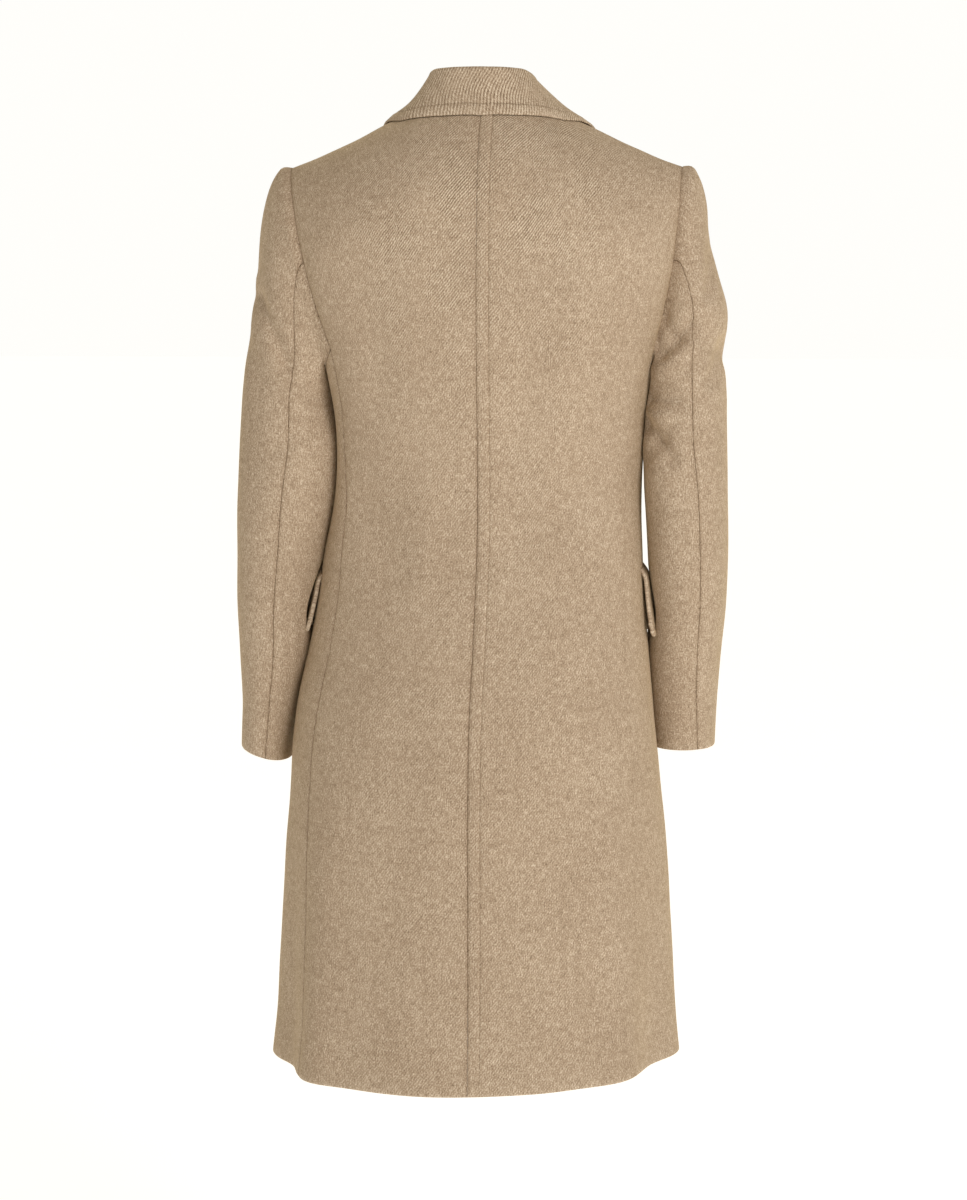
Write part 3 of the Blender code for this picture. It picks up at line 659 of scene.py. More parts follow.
BODY_CREASES = (
    Crease(53, -385, 55, -480, 20, 2.2),
    Crease(114, -410, 92, -470, 24, -5),
    Crease(118, -170, 104, -300, 22, -2.4),
    Crease(-110, -190, -84, -320, 24, 2.4),
    Crease(-56, -230, -44, -330, 18, -1.6),
    Crease(-120, -372, -60, -430, 22, -1.8),
    Crease(-90, -450, -30, -480, 20, 1.2),
    Crease(70, -620, 88, -860, 34, -1.6),
    Crease(-95, -700, -120, -950, 38, -1.8),
    Crease(-40, -690, -58, -900, 30, 1.4),
    Crease(90, -395, 24, -424, 16, -1.8, -1),
    Crease(-96, -402, -26, -424, 16, -1.8, -1),
    Crease(120, -320, 96, -430, 24, -2.4, -1),
    Crease(-122, -330, -100, -440, 24, -2.2, -1),
    Crease(-70, -640, -92, -920, 36, -2.2, -1),
    Crease(96, -650, 112, -930, 34, 2, -1),
)

SLEEVE_CREASES = (
    Crease(234, -194, 201, -264, 7.5, -5),
    Crease(241, -176, 245, -290, 6.5, 2),
    Crease(218, -160, 196, -225, 12, 1.6),
    Crease(238, -285, 240, -390, 13, -1.4),
    Crease(196, -300, 196, -560, 15, 1.2),
    Crease(186, -330, 214, -352, 9, -1.2),
    Crease(190, -430, 226, -452, 12, -1),
    Crease(208, -600, 246, -626, 14, -1),
    Crease(-184, -250, -214, -222, 8, -7),
    Crease(-182, -268, -217, -241, 9, 3),
    Crease(-168, -299, -200, -298, 8, -5.5),
    Crease(-172, -312, -205, -316, 9, 2.4),
    Crease(-164, -320, -195, -356, 9, -6.5),
    Crease(-236, -142, -233, -190, 6, -4),
    Crease(-249, -240, -236, -277, 7, -4.2),
    Crease(-184, -420, -222, -446, 12, -1.1),
    Crease(-196, -590, -228, -620, 13, -1),
    Crease(184, -330, 232, -352, 10, -2.4, -1),
    Crease(190, -372, 240, -398, 11, -2, -1),
    Crease(186, -300, 222, -316, 9, 1.6, -1),
    Crease(-180, -336, -226, -356, 10, -2.4, -1),
    Crease(-186, -378, -232, -402, 11, -1.8, -1),
    Crease(-182, -306, -218, -322, 9, 1.6, -1),
)


class Unevenness:
    """Slow unevenness of the cloth, the same for neighbours because it depends on the place alone."""

    # Shortest and longest wave, and how far the waves run each way
    LENGTHS = (38.0, 140.0)
    STRETCH = (1.0, 1.0, 0.55)

    def __init__(self, waves: int = 9, height: float = 0.34, seed: int = 11) -> None:
        """Draw the waves.

        Args:
            waves: Number of waves.
            height: Height of the sum of the waves, about.
            seed: Seed of the draws.
        """
        draw = np.random.default_rng(seed)
        lengths = draw.uniform(*self.LENGTHS, waves)
        ways = unit(draw.normal(size=(waves, 3)) * self.STRETCH)
        self.pulls = ways * (2.0 * math.pi / lengths)[:, None]
        self.starts = draw.uniform(0.0, 2.0 * math.pi, waves)
        self.heights = height * lengths / lengths.mean() / math.sqrt(waves / 2.0)

    def rise(self, points: Array) -> Array:
        """Height at points."""
        return np.sin(points @ self.pulls.T + self.starts) @ self.heights


UNEVENNESS = Unevenness()


def arcs(points: Array, axis: int) -> Array:
    """Lengths along the lines of a grid of points, from 0 at their start.

    Args:
        points: Grid of points.
        axis: Axis of the lines.

    Returns:
        Length at each point.
    """
    steps = np.linalg.norm(np.diff(points, axis=axis), axis=-1)
    start = np.zeros_like(np.take(steps, [0], axis=axis))
    return np.concatenate([start, np.cumsum(steps, axis=axis)], axis=axis)


def tangents(points: Array, lengths: Array, axis: int) -> Array:
    """Directions along the lines of a grid whose lines aren't evenly spaced.

    Args:
        points: Grid of points.
        lengths: Lengths along the lines.
        axis: Axis of the lines.

    Returns:
        Slopes of the points by length.
    """
    p = np.moveaxis(points, axis, 0)
    a = np.moveaxis(lengths, axis, 0)[..., None]
    step = np.maximum(np.diff(a, axis=0), 1e-6)
    slope = np.diff(p, axis=0) / step
    inside = (slope[:-1] * step[1:] + slope[1:] * step[:-1]) / (step[:-1] + step[1:])
    return np.moveaxis(np.concatenate([slope[:1], inside, slope[-1:]]), 0, axis)


# Share of a short piece that the mesh lines beside its edges may take, and the fewest spaces between
EDGE_ROOM, LEAST_SPACES = 0.8, 3


def stations(lengths: Array, step: float, first: Edge, last: Edge) -> Array:
    """Places of mesh lines along lengths of cloth between two edges.

    Args:
        lengths: Length of the cloth along each line.
        step: Spacing of the lines in the middle.
        first: Edge at the start.
        last: Edge at the end.

    Returns:
        Distances from the start, one row a mesh line.
    """
    near, far = first.lines(), last.lines()
    room = np.minimum(1.0, EDGE_ROOM * lengths / (near[-1] + far[-1]))
    count = max(round((lengths.max() - near[-1] - far[-1]) / step), LEAST_SPACES)
    share = np.linspace(0.0, 1.0, count + 1)[1:-1, None]
    a, b = near[-1] * room, far[-1] * room
    middle = a + share * (lengths - a - b)
    return np.concatenate([near[:, None] * room, middle, lengths - far[::-1, None] * room])


class Cloth:
    """A cut piece of cloth laid on a form, as a closed thin shell with rolled edges.

    The form is read by two shares: across the piece, and along it.
    """

    # Distances over which the painted shade beside seams and the marks of free edges fade, and the lift and
    # slip of a stitch
    SEAM_SHADE = 1.3
    EDGE_SHADE = 3.0
    STITCH_LIFT = 0.1
    STITCH_SLIP = 0.6

    def __init__(
        self,
        form: Surface,
        edges: tuple[Edge, Edge, Edge, Edge],
        outward: int,
        grain: tuple[int, int],
        creases: tuple[Crease, ...] = (),
        step: float = 4.0,
        wall: float = FORM.wall,
        centred: bool = False,
        dense: tuple[int, int] = (61, 161),
        meet: Callable[[Array], tuple[Array, Array]] | None = None,
        flat: Callable[[Array, Array, Array], Array] | None = None,
    ) -> None:
        """Lay the cloth.

        Args:
            form: Points by the shares across and along.
            edges: Edges at the start and end across, then at the start and end along.
            outward: Sign that turns across times along into the outward normal.
            grain: Signs that turn lengths across and along into right and up, seen from outside.
            creases: Creases of this cloth.
            step: Spacing of the mesh lines.
            wall: Thickness of the cloth.
            centred: Whether the form is the middle of the wall and not its outer face.
            dense: Counts of points that the form is measured with.
            meet: Places that the start along is sewn to, by the share across, and how far it is drawn.
            flat: Places on the flat cloth by shares and points, where lengths across and along won't do.
        """
        self.edges, self.outward, self.wall = edges, outward, wall
        shares = self.lay(form, step, dense)
        self.points = form(*shares)
        across, along = arcs(self.points, 0), arcs(self.points, 1)
        turned = np.cross(tangents(self.points, across, 0), tangents(self.points, along, 1))
        self.normals = outward * unit(turned)
        self.distances = (across, across[-1:] - across, along, along[:, -1:] - along)
        measured = np.stack([grain[0] * across, grain[1] * along], axis=-1)
        self.uv = measured if flat is None else flat(*shares, self.points)
        self.width, self.length = float(across[-1].max()), float(along[:, -1].max())
        level = self.points[..., 2]
        height = UNEVENNESS.rise(self.points)
        height += sum((crease.rise(self.points, self.normals) for crease in creases), np.zeros_like(level))
        rolled = np.zeros_like(level)
        self.painted_seam_shade, self.edge_near = np.zeros_like(level), np.zeros_like(level)
        for edge, distance in zip(edges, self.distances):
            height += edge.height(distance, level)
            shown = edge.strength(level)
            rolled = np.maximum(rolled, 1.0 - np.minimum(distance / (edge.roll * shown), 1.0))
            # Painted shade: a share that darkens the colour beside a seam, as if its valley were in shade
            sewn = edge.seam * shown * np.exp(-distance / self.SEAM_SHADE)
            self.painted_seam_shade = np.maximum(self.painted_seam_shade, sewn)
            bare = (1.0 - edge.seam) * np.exp(-distance / self.EDGE_SHADE)
            self.edge_near = np.maximum(self.edge_near, bare)
        half = wall / 2 * np.sqrt(np.maximum(1.0 - rolled**2, 0.0))
        middle = self.points + self.normals * (height - (0.0 if centred else wall / 2))[..., None]
        if meet is not None:
            target, draw = meet(shares[0][:, 0])
            drawn = np.exp(-((along / draw[:, None]) ** 2))
            middle = middle + (target - middle[:, 0])[:, None] * drawn[..., None]
        self.outer = middle + self.normals * half[..., None]
        self.inner = middle - self.normals * half[..., None]

    def lay(self, form: Surface, step: float, dense: tuple[int, int]) -> tuple[Array, Array]:
        """Find the shares of the mesh lines, so that they run at even distances from the edges.

        Args:
            form: Points by the shares across and along.
            step: Spacing of the mesh lines.
            dense: Counts of points that the form is measured with.

        Returns:
            Shares across and along at each point of the mesh.
        """
        first, last, low, high = self.edges
        s, t = np.linspace(0.0, 1.0, dense[0]), np.linspace(0.0, 1.0, dense[1])
        lengths = arcs(form(*np.meshgrid(s, t, indexing="ij")), 0)
        wanted = stations(lengths[-1], step, first, last)
        across = np.stack([np.interp(wanted[:, k], lengths[:, k], s) for k in range(len(t))], axis=1)
        lengths = arcs(form(across, np.broadcast_to(t, across.shape)), 1)
        wanted = stations(lengths[:, -1], step, low, high)
        along = np.stack([np.interp(wanted[:, k], lengths[k], t) for k in range(len(across))])
        across = np.stack([np.interp(along[k], t, across[k]) for k in range(len(across))])
        return across, along

    def stitch_line(self, which: int) -> Array:
        """Points of the row of stitches beside one edge.

        Args:
            which: Number of the edge, as in edges.

        Returns:
            Points on the cloth, where the edge has room for its stitches.
        """
        edge, distance = self.edges[which], self.distances[which]
        line = int(np.argmin(np.abs(edge.lines() - edge.stitch)))
        place = line if which in (0, 2) else -1 - line
        axis = 0 if which < 2 else 1
        points = np.take(self.outer + self.STITCH_LIFT * self.normals, place, axis=axis)
        return points[np.abs(np.take(distance, place, axis=axis) - edge.stitch) < self.STITCH_SLIP]

    def make(self, name: str, material: bpy.types.Material) -> bpy.types.Object:
        """Make the mesh object of the cloth.

        Args:
            name: Name of the piece.
            material: Finish of the piece.

        Returns:
            The object, at the origin.
        """
        columns, rows = self.points.shape[:2]
        outer = np.arange(columns * rows).reshape(columns, rows)
        inner = outer.copy()
        inside = np.arange((columns - 2) * (rows - 2)).reshape(columns - 2, rows - 2)
        inner[1:-1, 1:-1] = columns * rows + inside

        def both(values: Array) -> Array:
            """Values of the outer points, then of the inner points inside the rim."""
            width = values.shape[2:]
            return np.concatenate([values.reshape(-1, *width), values[1:-1, 1:-1].reshape(-1, *width)])

        co = np.concatenate([self.outer.reshape(-1, 3), self.inner[1:-1, 1:-1].reshape(-1, 3)]) * MM
        faces = []
        for index, turn in ((outer, self.outward), (inner, -self.outward)):
            corners = [index[:-1, :-1], index[1:, :-1], index[1:, 1:], index[:-1, 1:]]
            faces.append(np.stack(corners[::turn], axis=-1).reshape(-1, 4))
        faces = np.concatenate(faces)
        mesh = bpy.data.meshes.new(name)
        mesh.from_pydata(co.tolist(), [], faces.tolist())
        mesh.polygons.foreach_set("use_smooth", np.ones(len(faces), bool))
        layer = mesh.uv_layers.new(name=UV_NAME)
        layer.data.foreach_set("uv", (both(self.uv)[faces.ravel()] * MM).astype(np.float32).ravel())
        for attribute, values in ((SEAM_NAME, self.painted_seam_shade), (EDGE_NAME, self.edge_near)):
            marks = mesh.attributes.new(attribute, "FLOAT", "POINT")
            marks.data.foreach_set("value", both(values).astype(np.float32).ravel())
        return add_object(name, mesh, material)


def add_object(name: str, mesh: bpy.types.Mesh, material: bpy.types.Material) -> bpy.types.Object:
    """Add a mesh to the scene with one material.

    Args:
        name: Name of the object.
        mesh: Its mesh.
        material: Its finish.

    Returns:
        The object.
    """
    mesh.materials.clear()
    mesh.materials.append(material)
    thing = bpy.data.objects.new(name, mesh)
    bpy.context.scene.collection.objects.link(thing)
    return thing


def linear(code: str) -> tuple[float, float, float, float]:
    """Linear colour of an sRGB hex value such as B0967A."""
    parts = [int(code[i : i + 2], 16) / 255.0 for i in (0, 2, 4)]
    return (*(p / 12.92 if p <= 0.04045 else ((p + 0.055) / 1.055) ** 2.4 for p in parts), 1.0)


def add_node(
    tree: bpy.types.NodeTree, kind: str, inputs: dict | None = None, **settings: Any
) -> bpy.types.Node:
    """Add a node with its settings and links.

    Args:
        tree: Node tree.
        kind: Type of the node.
        inputs: Values of its inputs, or sockets to link to them.
        settings: Properties of the node.

    Returns:
        The node.
    """
    node = tree.nodes.new(kind)
    for name, value in settings.items():
        setattr(node, name, value)
    for name, value in (inputs or {}).items():
        if isinstance(value, bpy.types.NodeSocket):
            tree.links.new(value, node.inputs[name])
        else:
            node.inputs[name].default_value = value
    return node


def new_material(name: str) -> tuple[bpy.types.Material, bpy.types.NodeTree, bpy.types.Node]:
    """New material with its node tree and its Principled shader.

    Args:
        name: Name of the material.

    Returns:
        The material, its tree and its shader.
    """
    material = bpy.data.materials.new(name)
    material.use_nodes = True
    return material, material.node_tree, material.node_tree.nodes["Principled BSDF"]


@dataclass(frozen=True)
class Grain:
    """One scale of the unevenness of dyed fibres: its size in millimetres and how much it shows."""

    width: float
    height: float
    detail: float
    tone: float
    relief: float = 0.0


@dataclass(frozen=True)
class WoolCoating:
    """Brushed wool twill woven from dyed fibres of several shades.

    It gives the eye upright streaks and light and dark flecks under a soft nap, fine diagonal ribs
    where the nap lies flat across the upper back, and no gloss.
    The ribs are drawn at 2.6 mm, coarser than the 1.5 mm of such cloth, so that they show in the render.
    """

    dark: str = "74614D"
    middle: str = "AC9781"
    light: str = "E1D2BD"
    grains: tuple[Grain, ...] = (
        Grain(1.1, 5.5, 2.0, 0.78, 0.9),
        Grain(1.3, 1.7, 2.0, 1.05, 0.9),
        Grain(8.0, 11.0, 2.0, 0.3),
        Grain(70.0, 90.0, 1.0, 0.12),
    )
    rib_spacing: float = 2.6
    rib_slant: float = 50.0
    rib_tone: float = 0.25
    rib_relief: float = 0.3
    # Levels, then distances from the centre, where the ribs fade, in metres as Object coordinates are
    rib_levels: tuple[float, float] = (-0.27, -0.08)
    rib_low: float = 0.35
    rib_sides: tuple[float, float] = (0.165, 0.09)
    rib_far: float = 0.2
    rib_gain: float = 1.6
    rib_bend: float = 5.0
    # Wavering of the ribs, then their coming and going: size, shift of the pattern
    rib_wavers: tuple[tuple[float, float], ...] = ((20.0, 3.0), (40.0, 9.0))
    rib_waver_stretch: float = 0.75
    # Start of the first grain's pattern, then the shift from one grain to the next
    grain_start: tuple[float, float] = (21.0, 15.0)
    grain_shift: tuple[float, float] = (17.0, 11.0)
    grain_roughness: float = 0.55
    # Painted shade: how much the colour darkens beside seams, as if their valleys were in shade
    painted_shade_tone: float = -0.2
    edge_tone: float = 0.12
    roughness: float = 0.95
    sheen: float = 0.38
    sheen_roughness: float = 0.42
    sheen_color: str = "EDD29E"
    relief: float = 0.0007
    relief_strength: float = 0.6
    gloss: float = 0.2

    def ribs(self, tree: bpy.types.NodeTree, place: bpy.types.NodeSocket) -> bpy.types.NodeSocket:
        """Diagonal ribs of the weave, wavering, coming and going, and faint away from the upper back.

        Args:
            tree: Node tree of the material.
            place: Place on the cloth in millimetres.

        Returns:
            Height of the ribs, from -1 to 1.
        """
        slant = math.radians(self.rib_slant)
        off = add_node(
            tree, "ShaderNodeVectorMath",
            {0: place, 1: (math.sin(slant), -math.cos(slant), 0.0)}, operation="DOT_PRODUCT",
        ).outputs["Value"]
        wavers = []
        for size, shift in self.rib_wavers:
            mapped = add_node(
                tree, "ShaderNodeMapping",
                {"Vector": place, "Location": (shift, shift, 0.0),
                 "Scale": (1.0 / size, self.rib_waver_stretch / size, 1.0)},
            ).outputs[0]
            wavers.append(add_node(
                tree, "ShaderNodeTexNoise", {"Vector": mapped, "Scale": 1.0, "Detail": 1.0},
                noise_dimensions="2D",
            ).outputs[0])
        bend = add_node(
            tree, "ShaderNodeMath", {0: wavers[0], 1: self.rib_bend}, operation="MULTIPLY"
        ).outputs[0]
        turns = add_node(
            tree, "ShaderNodeMath", {0: off, 1: 2.0 * math.pi / self.rib_spacing, 2: bend},
            operation="MULTIPLY_ADD",
        ).outputs[0]
        wave = add_node(tree, "ShaderNodeMath", {0: turns}, operation="SINE").outputs[0]
        whole = add_node(tree, "ShaderNodeTexCoord").outputs["Object"]
        parted = add_node(tree, "ShaderNodeSeparateXYZ", {0: whole}).outputs
        across = add_node(tree, "ShaderNodeMath", {0: parted["X"]}, operation="ABSOLUTE").outputs[0]
        shares = [wavers[1]]
        for value, (low, high), least in (
            (parted["Z"], self.rib_levels, self.rib_low), (across, self.rib_sides, self.rib_far)
        ):
            shares.append(add_node(
                tree, "ShaderNodeMapRange",
                {"Value": value, "From Min": low, "From Max": high, "To Min": least, "To Max": 1.0},
            ).outputs[0])
        for share in shares:
            wave = add_node(tree, "ShaderNodeMath", {0: wave, 1: share}, operation="MULTIPLY").outputs[0]
        return add_node(tree, "ShaderNodeMath", {0: wave, 1: self.rib_gain}, operation="MULTIPLY").outputs[0]

    def make(self) -> bpy.types.Material:
        """Build the material on the cloth's own UV map, in millimetres.

        Returns:
            The material.
        """
        material, tree, shader = new_material("wool_coating_brushed_twill")
        uv = add_node(tree, "ShaderNodeUVMap", uv_map=UV_NAME).outputs[0]
        place = add_node(
            tree, "ShaderNodeVectorMath", {0: uv, 1: (1.0 / MM, 1.0 / MM, 0.0)}, operation="MULTIPLY"
        ).outputs[0]
        # Share of painted shade beside seams, read from the mesh
        seam = add_node(tree, "ShaderNodeAttribute", attribute_name=SEAM_NAME).outputs["Fac"]
        edge = add_node(tree, "ShaderNodeAttribute", attribute_name=EDGE_NAME).outputs["Fac"]
        ribs = self.ribs(tree, place)
        parts = [
            (ribs, self.rib_tone, self.rib_relief), (seam, self.painted_shade_tone, 0.0), (edge, self.edge_tone, 0.0)
        ]
        for number, grain in enumerate(self.grains):
            across, up = (a + b * number for a, b in zip(self.grain_start, self.grain_shift))
            mapped = add_node(
                tree, "ShaderNodeMapping",
                {"Vector": place, "Location": (across, up, 0.0),
                 "Scale": (1.0 / grain.width, 1.0 / grain.height, 1.0)},
            ).outputs[0]
            noise = add_node(
                tree, "ShaderNodeTexNoise",
                {"Vector": mapped, "Scale": 1.0, "Detail": grain.detail, "Roughness": self.grain_roughness},
                noise_dimensions="2D",
            ).outputs[0]
            parts.append((noise, grain.tone, grain.relief))
        tone: Any = 0.5 - 0.5 * sum(grain.tone for grain in self.grains)
        raised: Any = 0.0
        for part, shade, height in parts:
            tone = add_node(
                tree, "ShaderNodeMath", {0: part, 1: shade, 2: tone}, operation="MULTIPLY_ADD"
            ).outputs[0]
            if height:
                raised = add_node(
                    tree, "ShaderNodeMath", {0: part, 1: height, 2: raised}, operation="MULTIPLY_ADD"
                ).outputs[0]
        ramp = add_node(tree, "ShaderNodeValToRGB", {0: tone})
        ramp.color_ramp.elements[0].color = linear(self.dark)
        ramp.color_ramp.elements[1].color = linear(self.light)
        ramp.color_ramp.elements.new(0.5).color = linear(self.middle)
        bump = add_node(
            tree, "ShaderNodeBump",
            {"Height": raised, "Strength": self.relief_strength, "Distance": self.relief},
        ).outputs[0]
        tree.links.new(ramp.outputs[0], shader.inputs["Base Color"])
        tree.links.new(bump, shader.inputs["Normal"])
        shader.inputs["Roughness"].default_value = self.roughness
        shader.inputs["Specular IOR Level"].default_value = self.gloss
        shader.inputs["Sheen Weight"].default_value = self.sheen
        shader.inputs["Sheen Roughness"].default_value = self.sheen_roughness
        shader.inputs["Sheen Tint"].default_value = linear(self.sheen_color)
        return material


@dataclass(frozen=True)
class SewingThread:
    """Spun sewing thread close to the cloth in shade: a fine dull line with a slight twist."""

    dark: str = "75634E"
    light: str = "A08A70"
    twist: float = 0.6
    roughness: float = 0.75

    def make(self) -> bpy.types.Material:
        """Build the material on Object coordinates.

        Returns:
            The material.
        """
        material, tree, shader = new_material("sewing_thread_spun")
        place = add_node(tree, "ShaderNodeTexCoord").outputs["Object"]
        wave = add_node(
            tree, "ShaderNodeTexNoise", {"Vector": place, "Scale": 1.0 / (self.twist * MM), "Detail": 1.0}
        )
        ramp = add_node(tree, "ShaderNodeValToRGB", {0: wave.outputs[0]})
        ramp.color_ramp.elements[0].color = linear(self.dark)
        ramp.color_ramp.elements[1].color = linear(self.light)
        tree.links.new(ramp.outputs[0], shader.inputs["Base Color"])
        shader.inputs["Roughness"].default_value = self.roughness
        return material


@dataclass(frozen=True)
class HornButton:
    """Turned and polished horn: dark brown with drawn-out paler clouds and a soft gloss."""

    dark: str = "2A1A10"
    light: str = "6E4C30"
    cloud: float = 7.0
    drawn: float = 3.0
    cloud_range: tuple[float, float] = (0.35, 0.75)
    scratch: float = 0.8
    roughness: tuple[float, float] = (0.22, 0.42)
    ior: float = 1.55

    def make(self) -> bpy.types.Material:
        """Build the material on Object coordinates.

        Returns:
            The material.
        """
        material, tree, shader = new_material("horn_polished")
        place = add_node(tree, "ShaderNodeTexCoord").outputs["Object"]
        drawn = add_node(
            tree, "ShaderNodeMapping", {"Vector": place, "Scale": (1.0, 1.0, self.drawn)}
        ).outputs[0]
        cloud = add_node(
            tree, "ShaderNodeTexNoise",
            {"Vector": drawn, "Scale": 1.0 / (self.cloud * MM), "Detail": 4.0, "Distortion": 1.2},
        )
        ramp = add_node(tree, "ShaderNodeValToRGB", {0: cloud.outputs[0]})
        ramp.color_ramp.elements[0].position = self.cloud_range[0]
        ramp.color_ramp.elements[0].color = linear(self.dark)
        ramp.color_ramp.elements[1].position = self.cloud_range[1]
        ramp.color_ramp.elements[1].color = linear(self.light)
        scratch = add_node(
            tree, "ShaderNodeTexNoise", {"Vector": place, "Scale": 1.0 / (self.scratch * MM), "Detail": 2.0}
        )
        low, high = self.roughness
        rough = add_node(tree, "ShaderNodeMapRange", {0: scratch.outputs[0], 3: low, 4: high})
        tree.links.new(ramp.outputs[0], shader.inputs["Base Color"])
        tree.links.new(rough.outputs[0], shader.inputs["Roughness"])
        shader.inputs["IOR"].default_value = self.ior
        return material


@dataclass
class Finishes:
    """The finishes of the coat, made once."""

    wool: bpy.types.Material = field(default_factory=lambda: WoolCoating().make())
    thread: bpy.types.Material = field(default_factory=lambda: SewingThread().make())
    horn: bpy.types.Material = field(default_factory=lambda: HornButton().make())


@dataclass
class Stitching:
    """Rows of stitches of one kind, laid by Geometry Nodes along runs on the cloth."""

    name: str
    pitch: float
    length: float
    radius: float
    seed: int
    runs: list[tuple[Array, Array]] = field(default_factory=list)
    # Least and greatest share of the length and of the two widths of a stitch
    vary: tuple[tuple[float, ...], ...] = ((0.88, 0.85, 0.85), (1.06, 1.15, 1.15))

    def follow(self, points: Array, lie: Array | None = None) -> None:
        """Add a run of stitches.

        Args:
            points: Points of the run.
            lie: Direction of the stitches at each point, or none for along the run.
        """
        if len(points) > 1:
            self.runs.append((points, np.gradient(points, axis=0) if lie is None else lie))

    def tree(self, material: bpy.types.Material) -> bpy.types.NodeTree:
        """Build the node tree that turns runs into stitches.

        Args:
            material: Thread of the stitches.

        Returns:
            The tree.
        """
        tree = bpy.data.node_groups.new(f"{self.name}_nodes", "GeometryNodeTree")
        tree.interface.new_socket("Geometry", in_out="INPUT", socket_type="NodeSocketGeometry")
        for name in ("Pitch", "Length", "Radius"):
            tree.interface.new_socket(name, in_out="INPUT", socket_type="NodeSocketFloat")
        tree.interface.new_socket("Seed", in_out="INPUT", socket_type="NodeSocketInt")
        tree.interface.new_socket("Geometry", in_out="OUTPUT", socket_type="NodeSocketGeometry")
        given = add_node(tree, "NodeGroupInput").outputs
        curve = add_node(tree, "GeometryNodeMeshToCurve", {0: given["Geometry"]}).outputs[0]
        spaced = add_node(
            tree, "GeometryNodeResampleCurve", {"Curve": curve, "Length": given["Pitch"]}, mode="LENGTH"
        ).outputs[0]
        lie = add_node(
            tree, "GeometryNodeInputNamedAttribute", {"Name": LIE_NAME}, data_type="FLOAT_VECTOR"
        ).outputs[0]
        turn = add_node(tree, "FunctionNodeAlignRotationToVector", {"Vector": lie}, axis="X").outputs[0]
        least, most = self.vary
        vary = add_node(
            tree, "FunctionNodeRandomValue", {"Min": least, "Max": most, "Seed": given["Seed"]},
            data_type="FLOAT_VECTOR",
        ).outputs[0]
        half = add_node(tree, "ShaderNodeMath", {0: given["Length"], 1: 0.5}, operation="MULTIPLY").outputs[0]
        size = add_node(
            tree, "ShaderNodeCombineXYZ", {"X": half, "Y": given["Radius"], "Z": given["Radius"]}
        ).outputs[0]
        scale = add_node(tree, "ShaderNodeVectorMath", {0: size, 1: vary}, operation="MULTIPLY").outputs[0]
        ball = add_node(
            tree, "GeometryNodeMeshUVSphere", {"Segments": 8, "Rings": 5, "Radius": 1.0}
        ).outputs[0]
        placed = add_node(
            tree, "GeometryNodeInstanceOnPoints",
            {"Points": spaced, "Instance": ball, "Rotation": turn, "Scale": scale},
        ).outputs[0]
        real = add_node(tree, "GeometryNodeRealizeInstances", {0: placed}).outputs[0]
        smooth = add_node(tree, "GeometryNodeSetShadeSmooth", {"Geometry": real}).outputs[0]
        dressed = add_node(
            tree, "GeometryNodeSetMaterial", {"Geometry": smooth, "Material": material}
        ).outputs[0]
        add_node(tree, "NodeGroupOutput", {"Geometry": dressed})
        return tree

    def make(self, material: bpy.types.Material) -> bpy.types.Object:
        """Lay the stitches along all runs.

        Args:
            material: Thread of the stitches.

        Returns:
            The stitches as one plain mesh object.
        """
        points = np.concatenate([run for run, _ in self.runs]) * MM
        lies = unit(np.concatenate([lie for _, lie in self.runs]))
        edges, start = [], 0
        for run, _ in self.runs:
            edges += [(k, k + 1) for k in range(start, start + len(run) - 1)]
            start += len(run)
        mesh = bpy.data.meshes.new(f"{self.name}_runs")
        mesh.from_pydata(points.tolist(), edges, [])
        marks = mesh.attributes.new(LIE_NAME, "FLOAT_VECTOR", "POINT")
        marks.data.foreach_set("vector", lies.astype(np.float32).ravel())
        thing = add_object(self.name, mesh, material)
        modifier = thing.modifiers.new("stitches", "NODES")
        modifier.node_group = self.tree(material)
        sizes = {
            "Pitch": self.pitch * MM, "Length": self.length * MM, "Radius": self.radius * MM,
            "Seed": self.seed,
        }
        for item in modifier.node_group.interface.items_tree:
            if item.in_out == "INPUT" and item.name in sizes:
                modifier[item.identifier] = sizes[item.name]
        return plain(thing)


def plain(thing: bpy.types.Object) -> bpy.types.Object:
    """Put the evaluated mesh of an object in place of its mesh and its modifiers.

    Args:
        thing: Object with modifiers.

    Returns:
        The same object as a plain mesh.
    """
    depsgraph = bpy.context.evaluated_depsgraph_get()
    mesh = bpy.data.meshes.new_from_object(thing.evaluated_get(depsgraph))
    thing.modifiers.clear()
    thing.data = mesh
    return thing


@dataclass
class Sewing:
    """All visible sewing of the coat."""

    rows: Stitching = field(default_factory=lambda: Stitching("topstitching", 4.2, 3.7, 0.3, 5))
    purls: Stitching = field(default_factory=lambda: Stitching("buttonhole_stitches", 0.75, 2.3, 0.42, 7))
    ties: Stitching = field(default_factory=lambda: Stitching("button_threads", 0.5, 1.4, 0.5, 9))

    def dress(self, finishes: Finishes) -> None:
        """Make the stitches as pieces of the coat.

        Args:
            finishes: Finishes of the coat.
        """
        for stitching in (self.rows, self.purls, self.ties):
            thing = stitching.make(finishes.thread)
            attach(thing, "root")
            LOG.info("%s: %d faces", stitching.name, len(thing.data.polygons))


@dataclass(frozen=True)
class Cutting:
    """Allowances of a cut piece, for the flat size of its sheet."""

    seam: float = 10.0
    enclosed: float = 6.0
    hem: float = 40.0

    def declare(
        self, thing: bpy.types.Object, cloth: Cloth, held: str, hem: bool
    ) -> None:
        """Log the cut size of the sheet that a piece was cut as.

        Args:
            thing: The piece.
            cloth: Its cloth.
            held: How the cloth is held.
            hem: Whether one end has a turned-up hem.
        """
        seam = self.seam if held == "hung" else self.enclosed
        width = (cloth.width + 2.0 * seam) * MM
        length = (cloth.length + seam + (self.hem if hem else seam)) * MM
        faces = len(thing.data.polygons)
        LOG.info("%s: cut %.0f x %.0f mm, %d faces", thing.name, width / MM, length / MM, faces)


CUTTING = Cutting()


